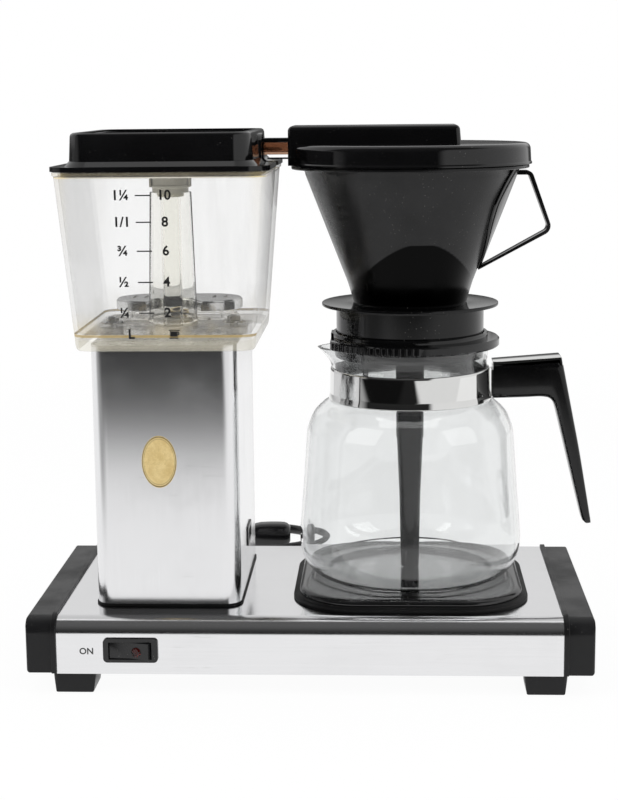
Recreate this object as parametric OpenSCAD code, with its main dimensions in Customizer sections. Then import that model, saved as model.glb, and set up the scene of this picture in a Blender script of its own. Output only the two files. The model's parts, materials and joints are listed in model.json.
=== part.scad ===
// Drip coffee maker: a low base with a warming plate, a column under a clear
// water tank, an outlet arm, a cone brew basket and a glass carafe.
// Millimetres. +Z up, the front faces -Y, and the origin is on the worktop
// under the middle of the appliance.

/* [Base] */
// Length of the base over both end caps
base_len = 324; // [310:1:340]
// Depth of the base
base_depth = 165; // [155:1:175]
// Height of the base's top face
base_top = 44.6; // [43:0.1:48]
// Length of each moulded end cap
cap_len = 17.6; // [15:0.1:22]
// Radius of the bend along the front edge
fold_r = 10; // [6:0.5:12]
// Radius of the bend along the back edge
back_fold_r = 2.5; // [2:0.5:6]

/* [Column and tank] */
// Width of the column
column_w = 84.4; // [80:0.1:88]
// Top of the column
column_top = 198; // [190:1:200]
// Width of the tank at its rim
tank_w = 120; // [118:1:126]
// Depth of the tank at its rim, front to back
tank_d = 138; // [132:1:144]
// Height of the tank's rim
tank_rim = 296; // [290:1:296]
// Height of the water side of the tank's floor
tank_floor = 204.5; // [203:0.5:208]

/* [Brewing side] */
// Distance of the brewing axis to the right of the origin
brew_x = 55.4; // [54:0.1:57]
// Radius of the brew basket's lid
lid_r = 70.5; // [69.5:0.1:74]
// Radius of the carafe at its widest
carafe_r = 66.5; // [64:0.5:68]
// Side of the warming plate
plate_w = 131; // [128:1:134]

/* [Lead] */
// Diameter of the mains lead
cord_d = 7; // [6:0.1:8]

/* [Hidden] */
$fn = 96;

// General
sheet = 1.2;
eps = 0.1;
fit = 0.05;
base_x = -3;
base_foot = 11.9;
front = -base_depth / 2;
back = base_depth / 2;
shell_half = base_len / 2 - cap_len;

// Feet
foot_x = base_len / 2 - 27.2;
foot_y = base_depth / 2 - 15;

// Switch, in the front face
switch_x = -104.75;
switch_z = 26.05;
rocker_y = front + 2;
rocker_r = 12.1;
rocker_tilt = 8;

// Warming plate
seal_w = plate_w + 7;
seal_top = base_top + 3.4;
plate_top = seal_top + 3.5;
plate_y = -2;
pan_r = 57;
pan_z = base_top - 3.6;

// Column
column_x = -85.5;
column_front = -58;
column_back = 56.6;
vent_y = 4;
vent_z = 73.4;
vent = [22.9, 11.8];
column_foot = base_top + 2.7;
column_r = 10;

// Tank
tank_x = -84.25;
tank_y = -3;
tank_foot = tank_floor - 9;
tank_wall = 2.5;
skirt_wall = 1.6;
riser_x = -86;
inlet_y = 32;
studs = [[-121, -10], [-49.2, -5]];
collar_top = 290;
arm_leg_r = 5.75;

// Tank lid
lid_z = tank_rim + 0.3;
lid_x = -83.8;
lid_y = -6.5;
lid_top = lid_z + 21.2;
lid_ceiling = lid_top - 6;

// Outlet arm
arm_z = 303;
arm_h = 7;
arm_w = 12;
arm_end = 75;

// Basket, its lid and handle
basket_rim = tank_rim + 0.5;
basket_seat = 193.5;
basket_deck = 216;
cone_foot = [33.2, 218.5];
cone_top = [61.85, 292.5];
basket_lid_z = basket_rim + 0.4;
basket_lid_top = basket_lid_z + 12.1;
ridge_top = basket_lid_top + 10.6;
ridge_left = brew_x - lid_r - 0.1;
ridge_right = 85.6;
ridge_half = 20;

// Carafe
carafe_z = plate_top;
glass = 2;
band_z = 158;
band_h = 19;
rim_z = 189;
neck_r = 46.5;

// Mains lead, from the end of the strain relief to the tail of the plug
relief_x = -30;
relief_z = 22;
relief_len = 28;
floor_z = cord_d / 2 + 0.1;
route = [
    [-30, 110.5, 22], [-30, 124, 20.5], [-28, 138, 14], [-20, 151, 7], [-6, 158, floor_z],
    [14, 160, floor_z], [38, 159, floor_z], [62, 159, floor_z], [86, 169, floor_z],
    [95, 192, floor_z], [85, 216, floor_z], [61, 225, floor_z], [37, 219, floor_z],
    [12, 204, floor_z], [-16, 187, floor_z], [-48, 175, floor_z], [-84, 170, floor_z],
    [-116, 173, floor_z], [-141, 186, floor_z], [-157, 207, floor_z], [-161, 232, floor_z],
    [-153, 257, floor_z], [-135, 276, floor_z], [-111, 285, floor_z], [-86, 286, floor_z],
    [-65, 288, floor_z], [-46, 291, floor_z], [-25, 281, floor_z], [-14, 259, floor_z],
    [-24, 236, floor_z], [-47, 226, floor_z], [-69, 219, floor_z], [-91, 203.5, floor_z],
    [-113, 191.5, floor_z], [-137, 202, floor_z], [-146, 225, floor_z], [-136, 248, floor_z],
    [-113, 257, floor_z], [-95, 254.5, floor_z], [-78, 250, floor_z]
];

// ---------------------------------------------------------------- functions

function unit(v) = v / norm(v);

// Point between b and c of the smooth curve that passes through a, b, c and d.
function curve_point(a, b, c, d, t) =
    0.5 * (2 * b + (c - a) * t + (2 * a - 5 * b + 4 * c - d) * t * t
        + (3 * b - a - 3 * c + d) * t * t * t);

// A smooth curve through every point of a list, with steps pieces a span.
function smooth(p, steps) =
    let (n = len(p) - 1)
    [
        for (i = [0 : n - 1], k = [0 : steps - 1])
            curve_point(p[max(i - 1, 0)], p[i], p[i + 1], p[min(i + 2, n)], k / steps),
        p[n]
    ];

function direction(a) = [cos(a), sin(a)];

// Direction of a list of points at entry i.
function heading(p, i) = unit(p[min(i + 1, len(p) - 1)] - p[max(i - 1, 0)]);

// Ring of a swept solid: a rounded section of half width w along side and
// half height h across it. A square of 2 is an ellipse, and less is boxier.
function section(centre, along, side, w, h, sides, square) =
    let (up = cross(unit(side), along))
    [
        for (k = [0 : sides - 1])
            let (a = 360 * (k + 0.5) / sides)
            centre + unit(side) * w * sign(cos(a)) * pow(abs(cos(a)), square)
                + up * h * sign(sin(a)) * pow(abs(sin(a)), square)
    ];

// ------------------------------------------------------------------ helpers

// Closed solid through a list of rings that all have the same number of points.
module skin(rings) {
    n = len(rings[0]);
    last = len(rings) - 1;
    sides = [
        for (i = [0 : last - 1], k = [0 : n - 1])
            [i * n + k, i * n + (k + 1) % n, (i + 1) * n + (k + 1) % n, (i + 1) * n + k]
    ];
    start = [for (k = [n - 1 : -1 : 0]) k];
    end = [for (k = [0 : n - 1]) last * n + k];
    polyhedron([for (r = rings) each r], concat(sides, [start, end]), convexity = 6);
}

module rounded_rect(w, d, r) {
    square([w - 2 * r, d], center = true);
    square([w, d - 2 * r], center = true);
    for (x = [-1, 1], y = [-1, 1])
        translate([x * (w / 2 - r), y * (d / 2 - r)]) circle(r);
}

module slab(w, d, r, h) {
    linear_extrude(h) rounded_rect(w, d, r);
}

// Extrudes a YZ outline along X, and an XZ outline along Y.
module along_x(x, length) {
    translate([x, 0, 0]) rotate([90, 0, 90]) linear_extrude(length) children();
}

module along_y(y, length) {
    translate([0, y + length, 0]) rotate([90, 0, 0]) linear_extrude(length) children();
}

module tube(r, wall, h) {
    difference() {
        cylinder(r = r, h = h);
        translate([0, 0, -eps]) cylinder(r = r - wall, h = h + 2 * eps);
    }
}

module at_brew(z = 0) {
    translate([brew_x, 0, z]) children();
}

// --------------------------------------------------------------------- base

// Folded outline of the base, drawn in from the outside by inset: a wide bend
// along the front and a tight one along the back.
module base_outline(inset, foot) {
    half = base_depth / 2 - inset;
    top = base_top - inset;
    r = fold_r - inset;
    back_r = max(back_fold_r - inset, 0.3);
    translate([-half, foot]) square([half, top - r - foot]);
    translate([-half + r, foot]) square([2 * half - r - back_r, top - foot]);
    translate([0, foot]) square([half, top - back_r - foot]);
    translate([-half + r, top - r]) circle(r);
    translate([half - back_r, top - back_r]) circle(back_r);
}

module base_shell() {
    color("gainsboro") difference() {
        along_x(base_x - shell_half, 2 * shell_half) base_outline(0, base_foot);
        along_x(base_x - shell_half - eps, 2 * shell_half + 2 * eps)
            base_outline(sheet, base_foot - 1);
        translate([brew_x, plate_y, base_top - 5]) cylinder(r = pan_r + 1, h = 10);
        translate([column_x, 0, base_top - 5]) slab(60, 80, 6, 10);
        along_y(front - 1, 5)
            translate([switch_x, switch_z]) square([27.4, 12.8], center = true);
        translate([relief_x, back - 5, relief_z]) rotate([-90, 0, 0]) cylinder(r = 6.5, h = 10);
    }
}

// One end cap, drawn for the right-hand end of a base centred on X = 0: the
// hollow body with rounded edges, a proud lip against the folded sheet and a
// tongue that slips inside it.
module cap_shape() {
    round_r = 2;
    lip = 1.5;
    wall = 3;
    low = base_foot + 0.5;
    difference() {
        union() {
            intersection() {
                along_x(shell_half, cap_len) base_outline(0, low);
                along_y(front, base_depth) translate([0, (low + base_top) / 2])
                    rounded_rect(base_len, base_top - low, round_r);
                slab(base_len, base_depth, round_r, base_top + 1);
            }
            along_x(shell_half, 2.8) base_outline(-lip, low);
            along_x(shell_half - 4, 5) base_outline(sheet + 0.2, low + 12);
        }
        difference() {
            along_x(shell_half - 5, cap_len + 5 - wall) base_outline(wall, low + wall);
            // Ribs that stiffen the end wall.
            for (y = [-50 : 25 : 50])
                translate([shell_half + 2, y - 0.8, 0]) cube([cap_len, 1.6, base_top]);
        }
    }
}

module end_cap_left() {
    color("#1c1c1e") translate([base_x, 0, 0]) mirror([1, 0, 0]) cap_shape();
}

module end_cap_right() {
    color("#1c1c1e") translate([base_x, 0, 0]) cap_shape();
}

module bottom_plate() {
    half = shell_half - 0.4;
    width = base_depth - 2 * sheet - 0.2;
    color("silver") difference() {
        along_x(base_x - half, 2 * half) difference() {
            translate([-width / 2, base_foot]) square([width, 7]);
            translate([-width / 2 + sheet, base_foot + sheet]) square([width - 2 * sheet, 7]);
        }
        // Gap in the rear flange round the lead's grommet.
        translate([relief_x - 9, width / 2 - 3, base_foot + sheet + 0.4]) cube([18, 6, 10]);
        for (x = [-1, 1], y = [-1, 1])
            translate([base_x + x * foot_x, y * foot_y, base_foot - 1])
                cylinder(r = 2.1, h = 4);
        // Louvres that let the base breathe.
        for (i = [0 : 6])
            translate([column_x - 30 + 10 * i, -20, base_foot - 1]) slab(4, 36, 1.9, 4);
        for (i = [0 : 6])
            translate([brew_x - 30 + 10 * i, -20, base_foot - 1]) slab(4, 36, 1.9, 4);
        // The tray is open at its ends over the caps' ribs.
        for (x = [-1, 1], y = [-1, 1])
            translate([base_x + x * (half - 4), y * width / 2, base_foot + 14])
                cube([10, 6, 20], center = true);
    }
}

// Moulded feet that carry on down from the caps' lips.
module feet() {
    top_half = 12.4;
    foot_half = 10.9;
    depth = 24;
    color("#141414") for (x = [-1, 1], y = [-1, 1])
        translate([base_x + x * foot_x, y * foot_y, 0]) mirror([x < 0 ? 1 : 0, 0, 0])
            difference() {
                intersection() {
                    along_y(-depth / 2, depth) polygon([
                        [-foot_half + 0.5, 0], [foot_half - 0.5, 0], [foot_half, 0.5],
                        [top_half, base_foot], [-top_half, base_foot], [-foot_half, 0.5]
                    ]);
                    slab(2 * top_half, depth, 3, base_foot);
                }
                translate([0, 0, -1]) cylinder(r = 5, h = 6);
                cylinder(r = 2.1, h = base_foot + 1);
            }
}

module foot_screws() {
    color("silver") for (x = [-1, 1], y = [-1, 1])
        translate([base_x + x * foot_x, y * foot_y, 0]) {
            translate([0, 0, 2.6]) cylinder(r = 4, h = 2.4);
            translate([0, 0, 5]) cylinder(r = 2, h = base_foot + 1);
        }
}

// ------------------------------------------------------------------- switch

module switch_frame() {
    depth = 9;
    color("#202022") difference() {
        union() {
            along_y(front - 1.5, 1.5)
                translate([switch_x + 0.25, switch_z + 0.2]) rounded_rect(31.4, 14.1, 2.5);
            along_y(front, depth + 1.5)
                translate([switch_x, switch_z]) square([27, 12.4], center = true);
            // Blades for the wires.
            for (x = [-7, 0, 7])
                translate([switch_x + x - 0.4, front + depth, switch_z - 3]) cube([0.8, 9, 6]);
        }
        along_y(front - 2, depth + 2)
            translate([switch_x, switch_z]) square([24.7, 10.1], center = true);
        translate([switch_x, rocker_y, switch_z]) cylinder(r = 1.2 + fit, h = 11.6, center = true);
    }
}

// Rocker with its left half pressed in.
module switch_rocker() {
    rise = rocker_r * tan(rocker_tilt);
    belly = 4;
    color("#18181a") translate([switch_x, rocker_y, switch_z]) rotate([0, 0, -rocker_tilt])
        difference() {
            union() {
                translate([0, 0, -4.75]) linear_extrude(9.5) intersection() {
                    circle(rocker_r);
                    polygon([
                        [-13, -2.6 - rise], [0, -2.6], [13, -2.6 - rise], [13, belly], [-13, belly]
                    ]);
                }
                cylinder(r = 1.2, h = 11.4, center = true);
            }
            lens_place() cylinder(r = 2.7, h = 3);
        }
}

// Seat of the pilot lens in the rocker's right half.
module lens_place() {
    translate([4, -3.4, -0.6]) rotate([90, 0, -rocker_tilt]) translate([0, 0, -1.5]) children();
}

module switch_lens() {
    color("#c01818") translate([switch_x, rocker_y, switch_z]) rotate([0, 0, -rocker_tilt])
        lens_place() {
            cylinder(r = 2.7, h = 1.7);
            translate([0, 0, 1.7]) cylinder(r1 = 2.7, r2 = 2, h = 0.5);
        }
}

// ------------------------------------------------------------ warming plate

module hot_plate_seal() {
    color("#0f0f10") translate([brew_x, plate_y, base_top]) difference() {
        union() {
            slab(seal_w, seal_w, 38, 1.8);
            slab(seal_w - 3, seal_w - 3, 36.5, seal_top - base_top);
        }
        translate([0, 0, -1]) cylinder(r = pan_r + 1, h = 8);
    }
}

// Two-step pressed plate with a round warming field and a pan below.
module hot_plate() {
    step = plate_top - seal_top;
    color("#232325") translate([brew_x, plate_y, 0]) {
        translate([0, 0, seal_top]) difference() {
            union() {
                slab(plate_w, plate_w, 35, step - 1.6);
                slab(plate_w - 1.6, plate_w - 1.6, 34.2, step - 0.9);
                slab(plate_w - 4.5, plate_w - 4.5, 33, step);
            }
            // Grooves round the warming field.
            for (r = [61.6, 52])
                translate([0, 0, step - 0.7]) tube(r, 1.4, 2);
        }
        translate([0, 0, pan_z]) cylinder(r = pan_r, h = seal_top - pan_z + eps);
    }
}

module hot_plate_element() {
    color("silver") translate([brew_x, plate_y, pan_z - 3.6]) {
        rotate_extrude(angle = 320) translate([40, 0]) circle(3.5);
        // Cold ends with their tags.
        for (a = [0, 320])
            rotate([0, 0, a]) translate([40, 0, 0]) rotate([90, 0, 0])
                translate([0, 0, a == 0 ? 0 : -8]) cylinder(r = 2.5, h = 8);
    }
}

module thermostat() {
    color("#d8d2c4") translate([brew_x, plate_y, pan_z - 9]) {
        cylinder(r = 10, h = 9);
        for (x = [-6, 5.2])
            translate([x, -3, -5]) cube([0.8, 6, 6]);
    }
}

module terminal_block() {
    color("#e8e4da") translate([-22, 30, base_foot + sheet]) difference() {
        translate([-18, -8, 0]) cube([36, 16, 13]);
        for (x = [-12, 0, 12])
            translate([x, 0, 5]) cylinder(r = 3, h = 10);
        for (x = [-6, 6])
            translate([x - 0.8, -9, 6]) cube([1.6, 18, 8]);
    }
}

// --------------------------------------------------------------------- lead

module strain_relief() {
    color("#121213") translate([relief_x, back, relief_z]) rotate([-90, 0, 0])
        difference() {
            union() {
                translate([0, 0, -5]) cylinder(r = 6.3, h = 6);
                translate([0, 0, -5]) cylinder(r = 8, h = 3.4);
                cylinder(r = 8.5, h = 2.5);
                translate([0, 0, 2.5]) cylinder(r1 = 6.4, r2 = 4.3, h = relief_len - 2.5);
            }
            // Flexing grooves.
            for (i = [0 : 5])
                translate([0, 0, 6 + 3.4 * i]) difference() {
                    cylinder(r = 9, h = 1.4);
                    cylinder(r = 4 - 0.05 * i, h = 1.4);
                }
        }
}

module cord() {
    line = smooth(route, 2);
    color("#131314") skin([
        for (i = [0 : len(line) - 1])
            let (
                along = heading(line, i),
                side = cross(along, [0, 0, 1])
            )
            section(line[i], along, side, cord_d / 2, cord_d / 2, 8, 1)
    ]);
}

// The plug lies on its side at the end of the lead.
module at_plug() {
    tail = route[len(route) - 1];
    before = route[len(route) - 2];
    turn = atan2(tail.y - before.y, tail.x - before.x);
    translate([tail.x, tail.y, 0]) rotate([0, 0, turn + 17]) children();
}

// Each entry is the distance along the plug, its middle height, half width and half height.
plug_line = [
    [0, 3.6, 3.6, 3.5], [5, 3.7, 3.7, 3.5], [11, 5, 4.8, 4.8], [17, 7.8, 7.4, 7.6],
    [23, 8.8, 8.6, 8.7], [38, 8.9, 8.6, 8.8], [43, 8.9, 7.6, 7.9], [45.5, 8.9, 5.2, 5.6]
];

module cord_plug() {
    line = smooth(plug_line, 2);
    color("#101011") at_plug() skin([
        for (p = line) section([p[0], 0, p[1]], [1, 0, 0], [0, -1, 0], p[2], p[3], 24, 0.6)
    ]);
}

// Two round pins 19 mm apart, on the side of the plug that faces the back.
module plug_pins() {
    pin_r = 2.4;
    color("silver") at_plug()
        for (x = [20.5, 39.5])
            translate([x, 6, 8.9]) rotate([-90, 0, 0]) {
                cylinder(r = pin_r, h = 20);
                translate([0, 0, 20]) cylinder(r1 = pin_r, r2 = 1.3, h = 1.6);
            }
}

// ------------------------------------------------------------------- column

// Column outline, round at the front corners and sharper at the back.
module column_outline(inset) {
    x = column_w - 2 * inset;
    y = column_back - column_front - 2 * inset;
    middle = (column_front + column_back) / 2;
    translate([0, middle]) rounded_rect(x, y, column_r - inset);
    translate([0, middle + y / 4]) rounded_rect(x, y / 2, 3 - inset);
}

module column_shell() {
    h = column_top - column_foot;
    color("lightgray") translate([column_x, 0, column_foot]) difference() {
        linear_extrude(h) column_outline(0);
        translate([0, 0, -eps]) linear_extrude(h + 2 * eps) column_outline(1);
        // Window behind the rear panel, and the vent's cut-out.
        translate([-31, column_back - 5, 13]) cube([62, 10, h - 26]);
        translate([column_w / 2, vent_y, vent_z - column_foot])
            cube([10, vent.x - 4, vent.y - 3], center = true);
    }
}

module column_top_plate() {
    color("silver") translate([0, 0, column_top - sheet]) difference() {
        translate([column_x, 0, 0]) linear_extrude(sheet) column_outline(1.05);
        for (y = [0, inlet_y])
            translate([riser_x, y, -1]) cylinder(r = 7.5, h = 4);
        for (p = studs)
            translate([p.x, p.y, -1]) cylinder(r = 2.6, h = 4);
    }
}

module column_gasket() {
    color("#111112") translate([column_x, 0, base_top]) difference() {
        linear_extrude(column_foot - base_top) column_outline(-0.8);
        translate([0, 0, -1]) linear_extrude(6) column_outline(2.6);
    }
}

module rear_panel() {
    color("lightgray") difference() {
        translate([column_x, column_back + sheet, column_foot + 6]) rotate([90, 0, 0])
            linear_extrude(sheet) translate([0, (column_top - column_foot - 12) / 2])
                rounded_rect(74, column_top - column_foot - 12, 3);
        for (i = [0 : 7])
            translate([column_x, column_back - 1, 110 + 8 * i]) rotate([-90, 0, 0])
                linear_extrude(4) rounded_rect(44, 3, 1.4);
        for (x = [-34, 34], z = [58, 186])
            translate([column_x + x, column_back - 1, z]) rotate([-90, 0, 0])
                cylinder(r = 1.7, h = 4);
    }
}

module rear_panel_screws() {
    color("silver") for (x = [-34, 34], z = [58, 186])
        translate([column_x + x, column_back + sheet, z]) rotate([-90, 0, 0]) {
            cylinder(r = 3.2, h = 1);
            translate([0, 0, 1]) cylinder(r1 = 3.2, r2 = 2, h = 0.8);
            translate([0, 0, -sheet]) cylinder(r = 1.6, h = sheet);
        }
}

// Louvred vent in the column's right-hand side.
module side_vent() {
    face = column_x + column_w / 2;
    color("#2a2a2c") {
        difference() {
            union() {
                along_x(face, 0.9) translate([vent_y, vent_z]) rounded_rect(vent.x, vent.y, 1.5);
                along_x(face - 6, 6) translate([vent_y, vent_z])
                    square([vent.x - 4.4, vent.y - 3.4], center = true);
            }
            along_x(face - 7, 9) translate([vent_y, vent_z])
                square([vent.x - 7, vent.y - 5.4], center = true);
        }
        for (i = [-1 : 1])
            translate([face - 3.4, vent_y - vent.x / 2 + 3, vent_z + 2.1 * i]) rotate([0, 35, 0])
                cube([3.6, vent.x - 6, 0.8]);
    }
}

// ------------------------------------------------------------ water heating

// Copper flow heater: two upright legs joined by a bend below.
module boiler_tube() {
    gap = inlet_y / 2;
    low = 82;
    high = 172;
    color("#b87333") translate([riser_x, 0, 0]) {
        for (y = [0, inlet_y])
            translate([0, y, low]) tube(7, 1.2, high - low);
        translate([0, gap, low]) rotate([90, 0, 90]) rotate([0, 0, 180])
            rotate_extrude(angle = 180) translate([gap, 0]) difference() {
                circle(7);
                circle(5.8);
            }
    }
}

module boiler_heater() {
    color("#9aa0a6") translate([riser_x, 0, 0]) {
        for (y = [0, inlet_y], i = [0 : 5])
            translate([0, y, 92 + 11 * i]) rotate_extrude() translate([10.1, 0])
                circle(3, $fn = 32);
        translate([10.1, inlet_y / 2 - 10, 92]) cube([3, 20, 60]);
    }
}

module boiler_clips() {
    color("silver") for (z = [86, 164])
        translate([column_x, inlet_y / 2, z]) difference() {
            translate([-41, -2, -4]) cube([82, 4, 8]);
            translate([-12, -3, -5]) cube([24, 6, 10]);
        }
}

module check_valve() {
    color("#c9a95a") translate([riser_x, inlet_y, 0]) {
        translate([0, 0, 180]) tube(8.5, 3, 12);
        translate([0, 0, 192]) tube(6.9, 2, tank_floor - 192 + 1);
    }
}

module boiler_hoses() {
    color("#d9d4cb") translate([riser_x, 0, 0]) {
        translate([0, 0, 168]) difference() {
            cylinder(r = 9, h = 22);
            translate([0, 0, -1]) cylinder(r = 7, h = 5);
            translate([0, 0, -1]) cylinder(r = 4.9, h = 24);
            translate([0, 0, 16]) cylinder(r = 6, h = 7);
        }
        translate([0, inlet_y, 168]) difference() {
            cylinder(r = 9, h = 12);
            translate([0, 0, -1]) cylinder(r = 7, h = 5);
            translate([0, 0, -1]) cylinder(r = 5, h = 14);
        }
    }
}

// --------------------------------------------------------------------- tank

// Slice of the tapering tank at height z, drawn in by inset.
module tank_slice(z, inset, h = eps) {
    t = (tank_rim - z) / (tank_rim - tank_floor);
    w = tank_w - 16 * t - 2 * inset;
    d = tank_d - 13.4 * t - 2 * inset;
    translate([tank_x + 0.5 * t, tank_y, z]) slab(w, d, 14 - 4 * t - inset, h, $fn = 48);
}

module tank_body(low, high, inset) {
    hull() {
        tank_slice(low, inset);
        tank_slice(high - eps, inset);
    }
}

module water_tank() {
    color("#e9ecea", 0.4) difference() {
        union() {
            hull() {
                tank_slice(tank_foot, 0.9);
                tank_slice(tank_foot + 1, 0.3);
                tank_slice(tank_foot + 3, 0);
                tank_slice(tank_rim - eps, 0);
            }
            // Rolled bead round the rim.
            tank_slice(tank_rim - 2.2, -0.9, 2.2);
            // Peg that steadies the outlet arm.
            translate([-25.5, 0, tank_rim - 1]) cylinder(r = 2, h = 5.1);
        }
        tank_body(tank_floor, tank_rim + 1, tank_wall);
        tank_body(tank_foot - 1, tank_floor - tank_wall, skirt_wall);
        translate([riser_x, 0, tank_floor - 5]) cylinder(r = 6, h = 10);
        translate([riser_x, inlet_y, tank_floor - 5]) cylinder(r = 7, h = 10);
        for (p = studs)
            translate([p.x, p.y, tank_floor - 5]) cylinder(r = 2.6, h = 10);
    }
}

module tank_seals() {
    low = column_top;
    h = tank_floor - tank_wall - column_top;
    color("#d5cfc4") {
        for (p = studs)
            translate([p.x, p.y, low]) tube(8, 5.4, h);
        translate([riser_x, 0, low]) tube(11, 5, h);
        translate([riser_x, inlet_y, low]) tube(11, 4, h);
    }
}

module tank_studs() {
    color("silver") for (p = studs)
        translate([p.x, p.y, 0]) {
            translate([0, 0, 190]) cylinder(r = 2.5, h = tank_floor - 190 + 4.5);
            translate([0, 0, tank_floor + 1.3]) cylinder(r = 4, h = 2.6, $fn = 6);
            translate([0, 0, 191.5]) cylinder(r = 4, h = 3, $fn = 6);
        }
}

module star_washers() {
    color("silver") for (p = studs)
        translate([p.x, p.y, tank_floor]) linear_extrude(1.2) difference() {
            union() {
                circle(4.8);
                for (a = [0 : 45 : 315])
                    rotate(a) translate([4.2, -1.2]) square([2.6, 2.4]);
            }
            circle(2.6);
        }
}

// -------------------------------------------------------------------- riser

module riser_tube() {
    color("#dfe3e0", 0.5) translate([riser_x, 0, 184]) tube(5.95, 1.1, 96);
}

module riser_sleeve() {
    low = tank_floor + 0.1;
    color("#e4e7e4", 0.4) translate([riser_x, 0, 0]) rotate_extrude() polygon([
        [12.6, low], [15, low], [15, low + 2], [14.4, low + 2.6], [12.5, 277], [11.3, 277],
        [13, low + 3], [12.6, low + 2]
    ]);
}

module riser_collar() {
    color("#b5aa98") difference() {
        translate([riser_x, 0, 0]) union() {
            translate([0, 0, 277]) cylinder(r = 11.6, h = collar_top - 277);
            translate([0, 0, 284]) cylinder(r = 12.2, h = 2);
            translate([0, 0, 272]) cylinder(r = 11, h = 5);
            // Side clips.
            for (side = [-1, 1])
                translate([side * 12 - 1, -4, 280]) cube([2, 8, 8]);
        }
        translate([riser_x, 0, 0]) {
            translate([0, 0, 270]) cylinder(r = 6, h = 10.2);
            translate([0, 0, 280]) cylinder(r = arm_leg_r + fit, h = 12);
        }
    }
}

module filter_outline(inset) {
    difference() {
        rounded_rect(77 - 2 * inset, 45 - 2 * inset, 22 - inset);
        translate([riser_x + 85, -25]) circle(16.5 + inset);
    }
}

// Polished cover plate with a turned-down rim.
module filter_plate() {
    color("silver") translate([-85, 25, tank_floor + 5.5]) difference() {
        union() {
            linear_extrude(6) filter_outline(0.8);
            linear_extrude(5) filter_outline(0);
        }
        translate([0, 0, -1]) linear_extrude(6) filter_outline(1.6);
        for (x = [-28, -21, 21, 28])
            translate([x, 4, 3]) slab(2, 12, 0.9, 5);
    }
}

// Comb of moulded pins that carries the cover plate and holds back grit.
module strainer_comb() {
    color("#e6e2d2", 0.6) translate([-85, 25, tank_floor]) {
        linear_extrude(1) difference() {
            filter_outline(2.2);
            filter_outline(7);
        }
        for (side = [-1, 1], a = [-72 : 18 : 90])
            translate([side * (16.5 + 17.4 * cos(a)), 17.4 * sin(a), 1]) comb_pin();
        for (x = [-11 : 5.5 : 11])
            translate([x, 17.4, 1]) comb_pin();
    }
}

module comb_pin() {
    cylinder(r = 1.1, h = 9.4, $fn = 16);
}

// ----------------------------------------------------------------- tank lid

module lid_slice(z, inset, h = eps) {
    translate([lid_x, lid_y, z])
        slab(103.6 - 2 * inset, 125 - 2 * inset, 14 - inset, h, $fn = 48);
}

module tank_lid() {
    notch = 8.5;
    lip = 3.4;
    color("#0c0c0d") difference() {
        union() {
            // Flange over the rim, and the fillet that rises from it.
            translate([tank_x, tank_y, lid_z]) slab(123.3, 141, 15, 2.7);
            hull() {
                lid_slice(lid_z + 2, 0);
                lid_slice(lid_top - 2, 1);
                lid_slice(lid_top - 0.8, 1.5);
                lid_slice(lid_top - eps, 2.6);
            }
            hull() {
                lid_slice(lid_z + 2.6, -2.6);
                lid_slice(lid_z + 5.4, 0);
            }
            // Ribbed lip inside the tank.
            translate([tank_x, tank_y, lid_z - lip]) slab(112, 130, 11, lip + 0.2);
            for (i = [0 : 17], side = [-1, 1])
                translate([tank_x - 46 + 5.4 * i, tank_y + side * 65, lid_z - lip + 0.2])
                    cylinder(r = 0.8, h = lip, $fn = 16);
            // Hood over the arm.
            hood(notch + 2.2, lid_z + 1, -31);
        }
        // Dish in the top.
        lid_slice(lid_top - 3.8, 7, 10);
        lid_slice(lid_top - 1.2, 5.8, 10);
        // Hollow inside.
        lid_slice(lid_z - 1, 2.6, lid_ceiling - lid_z + 1);
        translate([tank_x, tank_y, lid_z - lip - 1]) slab(108, 126, 9, lip + 1.5);
        hood(notch, lid_z - 10, -18);
    }
}

// Arch over the arm from Z = low up, through the right-hand wall to X = reach.
module hood(half, low, reach) {
    start = -37.5;
    rise = 4;
    spring = lid_ceiling - 2.6 + half * 0.25;
    along_x(start, reach - start) {
        translate([-half, low]) square([2 * half, spring - low]);
        translate([0, spring]) arch(half, rise);
    }
}

// Shallow arch of half width w and rise h, standing on the X axis.
module arch(w, h) {
    r = (w * w + h * h) / (2 * h);
    intersection() {
        translate([0, h - r]) circle(r);
        translate([-w, -eps]) square([2 * w, h + eps]);
    }
}

// --------------------------------------------------------------- outlet arm

module arm_plan(inset) {
    translate([riser_x, 0]) circle(arm_w / 2 - inset);
    translate([riser_x, -arm_w / 2 + inset]) square([arm_end - riser_x, arm_w - 2 * inset]);
    translate([arm_end, 0]) circle(arm_w / 2 - inset);
}

// Trough with a spout leg at the riser and a row of holes over the coffee.
module outlet_arm() {
    color("#6b3d1a", 0.8) difference() {
        union() {
            translate([0, 0, arm_z]) linear_extrude(arm_h) arm_plan(0);
            translate([riser_x, 0, 280.5]) cylinder(r = arm_leg_r, h = arm_z - 280);
            translate([riser_x, 0, collar_top + 0.2]) cylinder(r = 8, h = 1.5);
        }
        translate([0, 0, arm_z + 1.4]) linear_extrude(arm_h) arm_plan(1.3);
        translate([riser_x, 0, 280]) cylinder(r = arm_leg_r - 1.3, h = 30);
        for (x = [arm_end - 40 : 5 : arm_end])
            translate([x, 0, arm_z - 1]) cylinder(r = 1.1, h = 4);
    }
}

module arm_cover() {
    inner = lid_ceiling - 0.3 - arm_z - arm_h;
    color("#0e0e0f") translate([0, 0, arm_z + arm_h]) {
        linear_extrude(inner) arm_plan(-0.4);
        linear_extrude(2.5) intersection() {
            arm_plan(-0.4);
            translate([-30.5, -20]) square([150, 40]);
        }
    }
}

// Thin rail under the arm that comes down on the tank's peg.
module arm_rest() {
    color("#161616") translate([0, -4, 0]) {
        translate([-28, 0, 300.3]) cube([20, 8, 0.8]);
        translate([-11, 0, 301]) cube([3, 8, arm_z - 301]);
    }
}

// ---------------------------------------------------------- basket lid

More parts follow.
